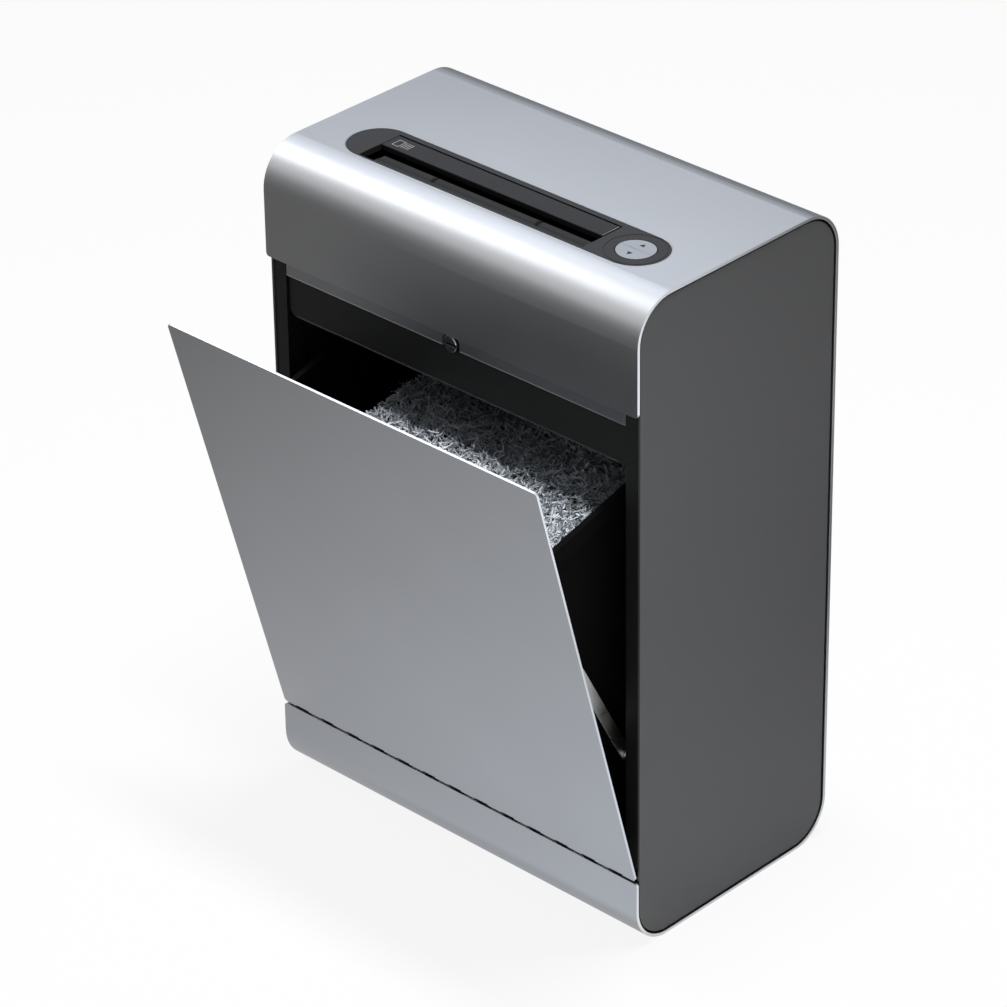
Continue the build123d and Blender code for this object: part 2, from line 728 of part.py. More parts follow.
# Front guide: a flat strip along the mouth, a groove, and three rounded pads over the throat's front wall
guide_left = head_left + 1.0
guide_right = head_right - 1.0
crest_z = overall_height - guide_crest_drop
pad_foot_z = crest_z - 3.0
pad_rear_z = crest_z - 7.0
strip_z = overall_height - guide_strip_drop
strip_front_y = mouth_front_y + feed_fit
strip_rear_y = strip_front_y + guide_strip
pad_front_y = strip_rear_y + guide_groove
crest_y = (pad_front_y + guide_rear_y) / 2
throat_front_y = throat_y - throat_gap / 2
guide_foot_y = -flange_front
guide_under = overall_height - 14.0
split_half = 6.0
split_slit = 0.7
split_floor = crest_z - 7.5
split_top = crest_z + 2.0
split_round = 7.0
with BuildPart() as feed_guide:
    with BuildSketch(side_plane(guide_left)):
        with BuildLine():
            Polyline((guide_rear_y, pad_rear_z), (throat_front_y, throat_bottom),
                     (throat_front_y - throat_wall, throat_bottom), (guide_rear_y - throat_wall - 0.8, guide_under),
                     (guide_foot_y, guide_under), (guide_foot_y, flange_under), (strip_front_y, flange_under),
                     (strip_front_y, strip_z), (strip_rear_y, strip_z), (strip_rear_y, pad_foot_z),
                     (pad_front_y, pad_foot_z))
            ThreePointArc((pad_front_y, pad_foot_z), (crest_y, crest_z), (guide_rear_y, pad_rear_z))
        make_face()
    extrude(amount=guide_right - guide_left)
    for x in (guide_split_left, guide_split_right):
        with BuildSketch(front_plane(strip_rear_y)):
            with BuildLine():
                RadiusArc((x - split_half, split_top), (x - split_slit, split_floor), split_round)
                Line((x - split_slit, split_floor), (x + split_slit, split_floor))
                RadiusArc((x + split_slit, split_floor), (x + split_half, split_top), split_round)
                Line((x + split_half, split_top), (x - split_half, split_top))
            make_face()
        extrude(amount=strip_rear_y - guide_rear_y - 1.0, mode=Mode.SUBTRACT)
    with BuildSketch(front_plane(strip_front_y)):
        with BuildLine():
            RadiusArc((guide_left + guide_left_void, split_floor), (guide_left + guide_left_void + split_half, split_top),
                      split_round)
            Polyline((guide_left + guide_left_void + split_half, split_top), (guide_left, split_top),
                     (guide_left, split_floor), (guide_left + guide_left_void, split_floor))
        make_face()
    extrude(amount=strip_front_y - guide_rear_y - 1.0, mode=Mode.SUBTRACT)
finish(feed_guide, "feed_guide")

# Rear wall of the throat: a channel under the flap
well_z = rod_z - flap_barrel_radius - 3.0
throat_rear_y = throat_y + throat_gap / 2
well_rear_y = mouth_rear_y + 1.5
with BuildPart() as throat_rear:
    with BuildSketch(side_plane(guide_left)):
        with BuildLine():
            Polyline((throat_rear_y, throat_bottom), (flap_front_y + 1.0, well_z),
                     (well_rear_y, well_z), (well_rear_y, flange_under), (well_rear_y + throat_wall, flange_under),
                     (well_rear_y + throat_wall, well_z - throat_wall),
                     (flap_front_y + 1.0 + throat_wall, well_z - throat_wall),
                     (throat_rear_y + throat_wall, throat_bottom), close=True)
        make_face()
    extrude(amount=guide_right - guide_left)
finish(throat_rear, "throat_rear")

# Paper sensor on the back of the throat's rear wall
sensor_width = 14.0
sensor_tall = 12.0
sensor_depth = 9.0
sensor_z = throat_bottom + 14.0
wall_lean = (flap_front_y + 1.0 - throat_rear_y) / (well_z - throat_wall - throat_bottom)
sensor_y = throat_rear_y + throat_wall + wall_lean * (sensor_z - throat_bottom)
with BuildPart() as paper_sensor:
    with BuildSketch(side_plane(mouth_middle - sensor_width / 2)):
        with BuildLine():
            Polyline((sensor_y - wall_lean * sensor_tall / 2, sensor_z - sensor_tall / 2),
                     (sensor_y + sensor_depth, sensor_z - sensor_tall / 2),
                     (sensor_y + sensor_depth, sensor_z + sensor_tall / 2),
                     (sensor_y + wall_lean * sensor_tall / 2, sensor_z + sensor_tall / 2), close=True)
        make_face()
    extrude(amount=sensor_width)
finish(paper_sensor, "paper_sensor")

# Rocker button: a disc with a ridge across its middle, and a boss with trunnions under it
rocker_top = overall_height + rocker_proud
rocker_bottom = rocker_top - rocker_height
trunnion_z = flange_under - rocker_trunnion - 1.0
boss_radius = rocker_radius - 3.0
boss_bottom = trunnion_z - rocker_trunnion - 1.0
carrier_bore = rocker_radius + rocker_gap + 0.4
carrier_ring = 2.5
trunnion_reach = carrier_bore + carrier_ring - 1.0
rocker_fall = 0.35
with BuildPart() as rocker_button:
    with BuildSketch(Plane.XY.offset(rocker_bottom)):
        with Locations((feed_cap_x, feed_y)):
            Circle(rocker_radius)
    extrude(amount=rocker_height)
    with BuildSketch(side_plane(feed_cap_x - 2 * rocker_radius, feed_y, rocker_top)):
        for side in (-1, 1):
            with BuildLine():
                Polyline((0, 0), (side * 2 * rocker_radius, 0), (side * 2 * rocker_radius, -2 * rocker_fall),
                         close=True)
            make_face()
    extrude(amount=4 * rocker_radius, mode=Mode.SUBTRACT)
    with BuildSketch(Plane.XY.offset(boss_bottom)):
        with Locations((feed_cap_x, feed_y)):
            Circle(boss_radius)
    extrude(amount=rocker_bottom - boss_bottom)
    with BuildSketch(side_plane(feed_cap_x - trunnion_reach, feed_y, trunnion_z)):
        Circle(rocker_trunnion)
    extrude(amount=2 * trunnion_reach)
finish(rocker_button, "rocker_button")

# Carrier under the panel that holds the rocker's trunnions and stands the board off
carrier_drop = 10.0
carrier_low = flange_under - carrier_drop
with BuildPart() as rocker_carrier:
    with BuildSketch(Plane.XY.offset(carrier_low)):
        with Locations((feed_cap_x, feed_y)):
            Circle(carrier_bore + carrier_ring)
            Circle(carrier_bore, mode=Mode.SUBTRACT)
    extrude(amount=carrier_drop)
    with BuildSketch(side_plane(feed_cap_x - 2 * carrier_bore, feed_y, trunnion_z)):
        Circle(rocker_trunnion + running_clearance)
    extrude(amount=4 * carrier_bore, mode=Mode.SUBTRACT)
finish(rocker_carrier, "rocker_carrier")

# Control board under the carrier, with two push switches below the rocker's halves
board_sheet = 1.6
board_width = 66.0
board_depth = 44.0
switch_side = 6.0
switch_offset = 9.0
switch_gap = 0.6
with BuildPart() as control_board:
    with BuildSketch(Plane.XY.offset(carrier_low - board_sheet)):
        with Locations((feed_cap_x, feed_y)):
            Rectangle(board_width, board_depth)
    extrude(amount=board_sheet)
finish(control_board, "control_board")

with BuildPart() as push_switches:
    with BuildSketch(Plane.XY.offset(carrier_low)):
        with Locations((feed_cap_x, feed_y)):
            with GridLocations(1, 2 * switch_offset, 1, 2):
                Rectangle(switch_side, switch_side)
    extrude(amount=(boss_bottom - switch_gap - carrier_low) * 0.55)
    with BuildSketch(Plane.XY.offset(carrier_low)):
        with Locations((feed_cap_x, feed_y)):
            with GridLocations(1, 2 * switch_offset, 1, 2):
                Circle(switch_side * 0.28)
    extrude(amount=boss_bottom - switch_gap - carrier_low)
finish(push_switches, "push_switches")

# Cutting head: end plates standing on the tray
plate_front_y = skirt_back + head_plate_front
plate_rear_y = back_y - head_plate_rear
plate_top = deck_z + head_plate_height
motor_y = rear_roller_y + motor_spread
motor_z = nip_z + 2.0
drive_module = 2 * drive_gear_radius / drive_teeth
motor_module = 2 * idler_gear_radius / idler_big_teeth
idler_reach_drive = drive_module * (drive_teeth + idler_small_teeth) / 2
idler_reach_motor = motor_module * (idler_big_teeth + motor_teeth) / 2
train_span = hypot(motor_y - rear_roller_y, motor_z - nip_z)
train_angle = atan2(motor_z - nip_z, motor_y - rear_roller_y)
idler_turn = acos((idler_reach_drive ** 2 + train_span ** 2 - idler_reach_motor ** 2)
                  / (2 * idler_reach_drive * train_span))
idler_y = rear_roller_y + idler_reach_drive * cos(train_angle + idler_turn)
idler_z = nip_z + idler_reach_drive * sin(train_angle + idler_turn)
bush_radius = journal_radius + running_clearance + bush_wall
tie_rod_low = deck_z + 11.0
tie_rod_high = plate_top - 9.0
tie_rod_front = plate_front_y + 7.0
tie_rod_rear = plate_rear_y - 8.0
tie_rod_middle = rear_roller_y + 34.0
tie_rods_at = [(tie_rod_front, tie_rod_low), (tie_rod_front, tie_rod_high), (tie_rod_middle, tie_rod_low),
               (tie_rod_rear, tie_rod_low)]
for name, x, holds_motor in (("left_head_plate", head_left - head_plate, False),
                             ("right_head_plate", head_right, True)):
    with BuildPart() as head_plate_part:
        with BuildSketch(side_plane(x)) as plate_outline:
            with Locations(((plate_front_y + plate_rear_y) / 2, (deck_z + plate_top) / 2)):
                RectangleRounded(plate_rear_y - plate_front_y, plate_top - deck_z, 5.0)
            with Locations((front_roller_y, nip_z), (rear_roller_y, nip_z)):
                Circle(bush_radius + fixed_clearance, mode=Mode.SUBTRACT)
            if holds_motor:
                with Locations((motor_y, motor_z)):
                    Circle(3 * motor_shaft_radius, mode=Mode.SUBTRACT)
                with Locations((idler_y, idler_z)):
                    Circle(stud_radius + fixed_clearance, mode=Mode.SUBTRACT)
        extrude(amount=head_plate)
    finish(head_plate_part, name)

with BuildPart() as tie_rods:
    with BuildSketch(side_plane(head_left)):
        with Locations(*tie_rods_at):
            Circle(tie_rod_radius)
    extrude(amount=head_right - head_left)
finish(tie_rods, "tie_rods")

# Screws through the end plates into the tie rods, and into the motor
motor_screw_circle = 24.0
motor_screws_at = [(motor_y + motor_screw_circle * cos(a), motor_z + motor_screw_circle * sin(a))
                   for a in (pi / 3, 2 * pi / 3, 4 * pi / 3, 5 * pi / 3)]
with BuildPart() as head_screws:
    for x, places in ((head_left - head_plate - screw_head, tie_rods_at),
                      (head_right + head_plate, tie_rods_at + motor_screws_at)):
        with BuildSketch(side_plane(x)):
            with Locations(*places):
                Circle(screw_head_radius)
                RegularPolygon(screw_head_radius / 2, 6, mode=Mode.SUBTRACT)
        extrude(amount=screw_head)
finish(head_screws, "head_screws")

bush_flange = 2.0
with BuildPart() as shaft_bushes:
    for x, flange_x in ((head_left - head_plate, head_left - head_plate - bush_flange),
                        (head_right, head_right + head_plate)):
        with BuildSketch(side_plane(x)):
            with Locations((front_roller_y, nip_z), (rear_roller_y, nip_z)):
                Circle(bush_radius)
                Circle(journal_radius + running_clearance, mode=Mode.SUBTRACT)
        extrude(amount=head_plate)
        with BuildSketch(side_plane(flange_x)):
            with Locations((front_roller_y, nip_z), (rear_roller_y, nip_z)):
                Circle(bush_radius + bush_flange)
                Circle(journal_radius + running_clearance, mode=Mode.SUBTRACT)
        extrude(amount=bush_flange)
finish(shaft_bushes, "shaft_bushes")

# Cutter rollers: discs that interleave, notched along their length for the cross cut
sync_x = head_right + head_plate + bush_flange + 1.0
drive_x = sync_x + gear_face + 2 * gear_step
idler_big_x = drive_x + gear_face + 2 * gear_step
disc_zone_left = head_left + disc_end_gap
disc_count = int((head_right - head_left - 2 * disc_end_gap - disc_pitch / 2) // disc_pitch)
shaft_left = head_left - head_plate - bush_flange - 2.0
notch_count = 4
notch_size = 2.6
for name, y, shift, shaft_right in (("front_cutter", front_roller_y, 0.0, sync_x + gear_face + 1.0),
                                    ("rear_cutter", rear_roller_y, disc_pitch / 2, drive_x + gear_face + 1.0)):
    discs = [disc_zone_left + shift + i * disc_pitch for i in range(disc_count)]
    outline = [(shaft_left, 0), (shaft_left, journal_radius), (head_left + 0.5, journal_radius),
               (head_left + 0.5, core_radius)]
    for x in discs:
        outline += [(x, core_radius), (x, disc_radius), (x + disc_width, disc_radius), (x + disc_width, core_radius)]
    outline += [(head_right - 0.5, core_radius), (head_right - 0.5, journal_radius),
                (shaft_right, journal_radius), (shaft_right, 0)]
    with BuildPart() as cutter:
        with BuildSketch(Plane(origin=(0, y, nip_z), x_dir=(1, 0, 0), z_dir=(0, 0, 1))):
            with BuildLine():
                Polyline(*outline, close=True)
            make_face()
        revolve(axis=Axis((0, y, nip_z), (1, 0, 0)))
        with BuildSketch(side_plane(disc_zone_left - 1.0, y, nip_z)):
            with PolarLocations(disc_radius, notch_count, start_angle=45):
                Rectangle(notch_size, notch_size, rotation=45)
        extrude(amount=head_right - head_left - 2 * disc_end_gap + 2.0, mode=Mode.SUBTRACT)
    finish(cutter, name)

# Stripper combs with fingers between the discs
finger_width = disc_pitch - disc_width - 2 * 0.3
finger_tall = 12.0
for name, y, side, shift in (("front_stripper", front_roller_y, -1, 0.0),
                             ("rear_stripper", rear_roller_y, 1, disc_pitch / 2)):
    bar_near = disc_radius + 1.5
    finger_tip = core_radius + comb_clear
    finger_first = disc_zone_left + shift + disc_width + 0.3
    with BuildPart() as comb:
        with BuildSketch(side_plane(head_left)):
            with Locations((y + side * (bar_near + comb_bar / 2), nip_z)):
                Rectangle(comb_bar, comb_height)
        extrude(amount=head_right - head_left)
        with BuildSketch(*[side_plane(finger_first + i * disc_pitch) for i in range(disc_count - 1)]):
            with Locations((y + side * (finger_tip + bar_near + 0.5) / 2, nip_z)):
                Rectangle(bar_near + 0.5 - finger_tip, finger_tall)
        extrude(amount=finger_width)
    finish(comb, name)


def tooth_half_angle(teeth, module, radius):
    """Half the angle of one involute tooth at a radius, thinned by the backlash."""
    pitch_radius = teeth * module / 2
    pressure = radians(20)
    base = pitch_radius * cos(pressure)
    at_radius = acos(min(1.0, base / radius))
    involute = tan(pressure) - pressure - (tan(at_radius) - at_radius)
    return pi / (2 * teeth) - gear_backlash / (2 * pitch_radius) + involute


def gear_outline(teeth, module, first_tooth):
    """Corner points of a spur gear with one tooth centred on the first_tooth angle, in radians."""
    pitch_radius = teeth * module / 2
    radii = [pitch_radius - 1.2 * module, pitch_radius, pitch_radius + 0.95 * module]
    points = []
    for i in range(teeth):
        middle = first_tooth + 2 * pi * i / teeth
        flank = [(r, tooth_half_angle(teeth, module, r)) for r in radii]
        points += [(r * cos(middle - a), r * sin(middle - a)) for r, a in flank]
        points += [(r * cos(middle + a), r * sin(middle + a)) for r, a in reversed(flank)]
    return points


def gear_profile(x, y, z, teeth, module, first_tooth):
    """Face of one spur gear at x, round the axis at y and z."""
    with BuildSketch(side_plane(x, y, z)) as profile:
        with BuildLine():
            Polyline(*gear_outline(teeth, module, first_tooth), close=True)
        make_face()
    return profile.sketch


# Gears on the cutter shafts: a pair that keeps the rollers in step, and the driven wheel
sync_module = shaft_spacing / sync_teeth
for name, y, first_tooth in (("front_sync_gear", front_roller_y, 0.0),
                             ("rear_sync_gear", rear_roller_y, pi + pi / sync_teeth)):
    with BuildPart() as sync_gear:
        extrude(gear_profile(sync_x, y, nip_z, sync_teeth, sync_module, first_tooth), amount=gear_face)
        with BuildSketch(side_plane(sync_x, y, nip_z)):
            Circle(journal_radius + running_clearance)
        extrude(amount=gear_face, mode=Mode.SUBTRACT)
    finish(sync_gear, name)

idler_from_drive = atan2(idler_z - nip_z, idler_y - rear_roller_y)
motor_from_idler = atan2(motor_z - idler_z, motor_y - idler_y)
with BuildPart() as drive_gear:
    extrude(gear_profile(drive_x, rear_roller_y, nip_z, drive_teeth, drive_module, idler_from_drive),
            amount=gear_face)
    with BuildSketch(side_plane(drive_x, rear_roller_y, nip_z)):
        Circle(journal_radius + running_clearance)
        with PolarLocations(drive_teeth * drive_module / 4 + 2.0, 6):
            Circle(drive_module * 5)
    extrude(amount=gear_face, mode=Mode.SUBTRACT)
finish(drive_gear, "drive_gear")

idler_small_start = drive_x - 0.5
with BuildPart() as idler_gear:
    extrude(gear_profile(idler_small_start, idler_y, idler_z, idler_small_teeth, drive_module,
                         idler_from_drive + pi + pi / idler_small_teeth),
            amount=idler_big_x - idler_small_start)
    extrude(gear_profile(idler_big_x, idler_y, idler_z, idler_big_teeth, motor_module, motor_from_idler),
            amount=gear_face)
    with BuildSketch(side_plane(idler_small_start, idler_y, idler_z)):
        Circle(stud_radius + running_clearance)
    extrude(amount=idler_big_x + gear_face - idler_small_start, mode=Mode.SUBTRACT)
finish(idler_gear, "idler_gear")

# Idler stud: fixed in the right plate, with a collar behind the gear and a retaining head
stud_collar = stud_radius + 2.5
with BuildPart() as idler_stud:
    with BuildSketch(side_plane(head_right, idler_y, idler_z)):
        Circle(stud_radius)
    extrude(amount=idler_big_x + gear_face + 0.5 - head_right)
    with BuildSketch(side_plane(head_right + head_plate, idler_y, idler_z)):
        Circle(stud_collar)
    extrude(amount=idler_small_start - 0.5 - head_right - head_plate)
    with BuildSketch(side_plane(idler_big_x + gear_face + 0.5, idler_y, idler_z)):
        Circle(stud_collar)
    extrude(amount=1.5)
finish(idler_stud, "idler_stud")

# Motor bolted to the right plate, and its pinion shaft
rotor_depth = 60.0
end_bell = 18.0
with BuildPart() as motor:
    with BuildSketch(side_plane(head_right, motor_y, motor_z)):
        Circle(motor_radius)
    extrude(amount=end_bell - motor_length)
    with BuildSketch(side_plane(head_right - motor_length + end_bell, motor_y, motor_z)):
        Circle(motor_radius - 6.0)
    extrude(amount=-end_bell)
    fillet(motor.edges().filter_by(GeomType.CIRCLE).group_by(Axis.X)[0], 4.0)
    with BuildSketch(side_plane(head_right, motor_y, motor_z)):
        Circle(motor_shaft_radius + running_clearance)
    extrude(amount=-rotor_depth, mode=Mode.SUBTRACT)
finish(motor, "motor")

with BuildPart() as motor_pinion:
    with BuildSketch(side_plane(head_right - rotor_depth + 1.0, motor_y, motor_z)):
        Circle(motor_shaft_radius)
    extrude(amount=idler_big_x + gear_face - head_right + rotor_depth - 1.0)
    extrude(gear_profile(idler_big_x, motor_y, motor_z, motor_teeth, motor_module,
                         motor_from_idler + pi + pi / motor_teeth),
            amount=gear_face)
finish(motor_pinion, "motor_pinion")

# Power inlet in the back: flanged socket with three blades
inlet_wall = 2.0
inlet_rim = 5.0
inlet_floor = 3.0
blade_x = 7.0
with BuildPart() as power_inlet:
    with BuildSketch(front_plane(back_y - band_sheet)):
        with Locations((inlet_x, inlet_height)):
            Rectangle(inlet_width + 2 * inlet_rim, inlet_tall + 2 * inlet_rim)
    extrude(amount=inlet_wall)
    with BuildSketch(front_plane(back_y)):
        with Locations((inlet_x, inlet_height)):
            Rectangle(inlet_width, inlet_tall)
    extrude(amount=inlet_depth)
    with BuildSketch(front_plane(back_y)):
        with Locations((inlet_x, inlet_height)):
            Rectangle(inlet_width - 2 * inlet_wall, inlet_tall - 2 * inlet_wall)
    extrude(amount=inlet_depth - inlet_floor, mode=Mode.SUBTRACT)
    with BuildSketch(front_plane(back_y - inlet_depth + inlet_floor)):
        for dx, dz in ((-blade_x, -2.0), (blade_x, -2.0), (0.0, 3.0)):
            with Locations((inlet_x + dx, inlet_height + dz)):
                Rectangle(2.0, 4.0)
    extrude(amount=-(inlet_depth - inlet_floor) * 0.7)
finish(power_inlet, "power_inlet")

# Door switch: a reed body on the back of the skirt and the magnet that works it on the door
reed_x = tray_half - 57.0
reed_width = 26.0
reed_tall = 8.0
reed_deep = 6.0
magnet_thickness = 2.0
with BuildPart() as door_switch:
    with BuildSketch(front_plane(skirt_back)):
        with Locations((reed_x, latch_z)):
            RectangleRounded(reed_width, reed_tall, 1.5)
    extrude(amount=-reed_deep)
finish(door_switch, "door_switch")

with BuildPart() as door_magnet:
    with BuildSketch(door_face(door_inner)):
        with Locations((reed_x, striker_level - 1.0)):
            RectangleRounded(reed_width - 6.0, reed_tall, 1.5)
    extrude(amount=-magnet_thickness)
finish(door_magnet, "door_magnet")

print("hinge axis", axis_y, axis_z, "door angle", door_open_angle)
print("stay pivot", pivot_y, pivot_z, "turn", degrees(stay_lean - stay_closed_lean),
      "reach", open_reach, closed_reach)
print("flap rod", rod_y, rod_z, "rocker", feed_cap_x, feed_y, trunnion_z, "latch", latch_z)
print("rollers", front_roller_y, rear_roller_y, nip_z, "idler", idler_y, idler_z, "motor", motor_y, motor_z)
print("discs", disc_count, "knuckles", knuckle_total)
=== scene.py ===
"""Looks of the paper shredder: satin aluminium band and door, black frame and bin, loose paper shreds."""
import bpy
import json
import numpy as np
from math import cos, pi, radians, sin
from mathutils import Matrix, Vector


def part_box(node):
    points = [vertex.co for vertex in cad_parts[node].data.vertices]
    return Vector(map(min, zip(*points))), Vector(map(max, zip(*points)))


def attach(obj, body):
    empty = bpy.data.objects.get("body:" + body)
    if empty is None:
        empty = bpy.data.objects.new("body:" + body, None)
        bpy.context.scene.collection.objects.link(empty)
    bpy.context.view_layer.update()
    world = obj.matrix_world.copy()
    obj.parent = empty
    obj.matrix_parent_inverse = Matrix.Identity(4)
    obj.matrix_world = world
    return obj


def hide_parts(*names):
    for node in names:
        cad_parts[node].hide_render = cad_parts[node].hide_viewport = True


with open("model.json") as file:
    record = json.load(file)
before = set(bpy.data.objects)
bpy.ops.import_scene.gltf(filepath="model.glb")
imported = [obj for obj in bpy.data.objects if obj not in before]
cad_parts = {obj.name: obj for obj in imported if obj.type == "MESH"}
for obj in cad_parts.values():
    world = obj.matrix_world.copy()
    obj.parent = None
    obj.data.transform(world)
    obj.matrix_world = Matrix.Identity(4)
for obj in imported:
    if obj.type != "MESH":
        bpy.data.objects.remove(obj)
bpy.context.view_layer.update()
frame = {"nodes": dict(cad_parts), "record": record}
nodes = frame["nodes"]
record = frame["record"]
MM = 0.001
ACROSS = np.array([1.0, 0.0, 0.0])
INWARDS = np.array([0.0, 1.0, 0.0])
UPWARDS = np.array([0.0, 0.0, 1.0])

# The door's own directions: from the hinge axis inwards, and up along the tilted sheet
door_joint = next(j for j in record["behaviour"]["joints"] if j["name"] == "door_tilt")
hinge_axis = np.array(door_joint["pos_m"])
door_tilt = radians(-door_joint["range_deg"][0])
door_in = np.array([0.0, cos(door_tilt), sin(door_tilt)])
door_up = np.array([0.0, -sin(door_tilt), cos(door_tilt)])


def to_door(points):
    """Row coordinates to (x, depth behind the hinge axis, height along the door)."""
    offset = points - hinge_axis
    return np.stack([points[..., 0], offset @ door_in, offset @ door_up], axis=-1)


def from_door(places):
    """(x, depth, height) along the door back to row coordinates."""
    level = np.array([0.0, hinge_axis[1], hinge_axis[2]])
    return level + places[..., :1] * ACROSS + places[..., 1:2] * door_in + places[..., 2:3] * door_up


def node_points(name):
    """All vertices of one solid of the frame, as an array of rows."""
    vertices = nodes[name].data.vertices
    flat = np.empty(3 * len(vertices))
    vertices.foreach_get("co", flat)
    return flat.reshape(-1, 3)


def node_box(name):
    """Lowest and highest corner of one solid of the frame, as arrays."""
    low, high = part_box(name)
    return np.array(low), np.array(high)


def add_piece(name, points, faces, material, body):
    """A mesh object at the origin from points and faces, riding on a body with the given material."""
    mesh = bpy.data.meshes.new(name)
    mesh.from_pydata(points.tolist(), [], faces.tolist() if hasattr(faces, "tolist") else faces)
    mesh.validate()
    piece = bpy.data.objects.new(name, mesh)
    bpy.context.scene.collection.objects.link(piece)
    mesh.materials.append(material)
    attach(piece, body)
    return piece


def grid_faces(rows, columns, wrap=False):
    """Quads between neighbours of a rows by columns grid of points, closed sideways where wrap is set."""
    row = np.arange(rows - 1)[:, None]
    column = np.arange(columns if wrap else columns - 1)[None, :]
    after = (column + 1) % columns
    quads = [row * columns + column, row * columns + after, (row + 1) * columns + after,
             (row + 1) * columns + column]
    return np.stack([np.broadcast_to(q, (rows - 1, column.size)) for q in quads], axis=-1).reshape(-1, 4)


# Materials

EDGE_ROUND = 0.4 * MM
METAL_EDGE_ROUND = 0.3 * MM
EDGE_SAMPLES = 4
MIX_FIRST, MIX_SECOND, MIX_RESULT = 6, 7, 2
LOOKS_ALONG = 0.9
LOOKS_AWAY = 0.5
PRINT_FROM = 0.64
PRINT_SHARE = 0.35
PRINT_GREY = (0.12, 0.12, 0.13)


def new_finish(name):
    """An empty material: its tree, its shader and the piece's own coordinates in metres."""
    material = bpy.data.materials.new(name)
    material.use_nodes = True
    tree = material.node_tree
    coords = tree.nodes.new("ShaderNodeTexCoord").outputs["Object"]
    return material, tree, tree.nodes["Principled BSDF"], coords


def stretch(tree, vector, scale):
    """The coordinates drawn out by a factor for each axis."""
    node = tree.nodes.new("ShaderNodeMapping")
    node.inputs["Scale"].default_value = scale
    tree.links.new(vector, node.inputs["Vector"])
    return node.outputs["Vector"]


def cloud(tree, vector, scale, detail=2.0):
    """Noise from 0 to 1 with cells of about one over scale metres."""
    node = tree.nodes.new("ShaderNodeTexNoise")
    node.inputs["Scale"].default_value = scale
    node.inputs["Detail"].default_value = detail
    tree.links.new(vector, node.inputs["Vector"])
    return node.outputs["Fac"]


def between(tree, value, low, high, start=0.0, end=1.0):
    """A value from start to end brought to the range low to high, and kept in it."""
    node = tree.nodes.new("ShaderNodeMapRange")
    for socket, number in (("From Min", start), ("From Max", end), ("To Min", low), ("To Max", high)):
        node.inputs[socket].default_value = number
    tree.links.new(value, node.inputs["Value"])
    return node.outputs["Result"]


def arithmetic(tree, operation, first, second):
    """One sum of two values, each a socket or a number."""
    node = tree.nodes.new("ShaderNodeMath")
    node.operation = operation
    for socket, value in zip(node.inputs, (first, second)):
        if isinstance(value, (int, float)):
            socket.default_value = value
        else:
            tree.links.new(value, socket)
    return node.outputs["Value"]


def blend_colour(tree, factor, first, second):
    """The first colour where factor is 0 and the second where it is 1; each a colour or a socket."""
    node = tree.nodes.new("ShaderNodeMix")
    node.data_type = "RGBA"
    tree.links.new(factor, node.inputs["Factor"])
    for socket, colour in ((node.inputs[MIX_FIRST], first), (node.inputs[MIX_SECOND], second)):
        if isinstance(colour, tuple):
            socket.default_value = (*colour, 1.0)
        else:
            tree.links.new(colour, socket)
    return node.outputs[MIX_RESULT]


def round_edges(tree, radius):
    """A normal that rounds sharp edges over a radius in metres."""
    node = tree.nodes.new("ShaderNodeBevel")
    node.samples = EDGE_SAMPLES
    node.inputs["Radius"].default_value = radius
    return node.outputs["Normal"]


def raise_surface(tree, shader, height, distance, normal=None):
    """Bump of a height from 0 to 1 over a distance in metres, on an edge normal if one is given."""
    node = tree.nodes.new("ShaderNodeBump")
    node.inputs["Strength"].default_value = 1.0
    node.inputs["Distance"].default_value = distance
    tree.links.new(height, node.inputs["Height"])
    if normal is not None:
        tree.links.new(normal, node.inputs["Normal"])
    tree.links.new(node.outputs["Normal"], shader.inputs["Normal"])


def dress(tree, shader, colour, gloss, height, depth, edge_radius):
    """Colour, roughness and a fine relief on a shader, with edges rounded over a radius."""
    tree.links.new(colour, shader.inputs["Base Color"])
    tree.links.new(gloss, shader.inputs["Roughness"])
    raise_surface(tree, shader, height, depth, round_edges(tree, edge_radius))


def along(tree, direction):
    """How much a face looks along a direction, either way: the size of the dot product of the two."""
    node = tree.nodes.new("ShaderNodeVectorMath")
    node.operation = "DOT_PRODUCT"
    tree.links.new(tree.nodes.new("ShaderNodeNewGeometry").outputs["Normal"], node.inputs[0])
    node.inputs[1].default_value = direction
    return arithmetic(tree, "ABSOLUTE", node.outputs["Value"], 0.0)


def satin_metal(name, dark, light, roughness, cut_edge=None, across=None):
    """Blasted and anodised sheet: a very fine grain, faint clouds in colour and gloss, and bright cut edges.

    The colour runs between dark and light with a noise of a few centimetres. The cut_edge colour takes over
    on faces that look along X, or for a flat sheet on all that look away from the direction across it.
    """
    material, tree, shader, coords = new_finish(name)
    shader.inputs["Metallic"].default_value = 1.0
    colour = blend_colour(tree, cloud(tree, coords, scale=9.0, detail=3.0), dark, light)
    grain = cloud(tree, coords, scale=2600.0)
    patches = cloud(tree, coords, scale=14.0, detail=3.0)
    gloss = between(tree, patches, low=roughness - 0.03, high=roughness + 0.03)
    gloss = arithmetic(tree, "ADD", gloss, between(tree, grain, low=-0.05, high=0.05))
    if cut_edge is not None:
        if across is None:
            cut = arithmetic(tree, "GREATER_THAN", along(tree, tuple(ACROSS)), LOOKS_ALONG)
        else:
            cut = arithmetic(tree, "LESS_THAN", along(tree, tuple(across)), LOOKS_AWAY)
        colour = blend_colour(tree, cut, colour, cut_edge)
    dress(tree, shader, colour, gloss, grain, 0.012 * MM, EDGE_ROUND)
    return material


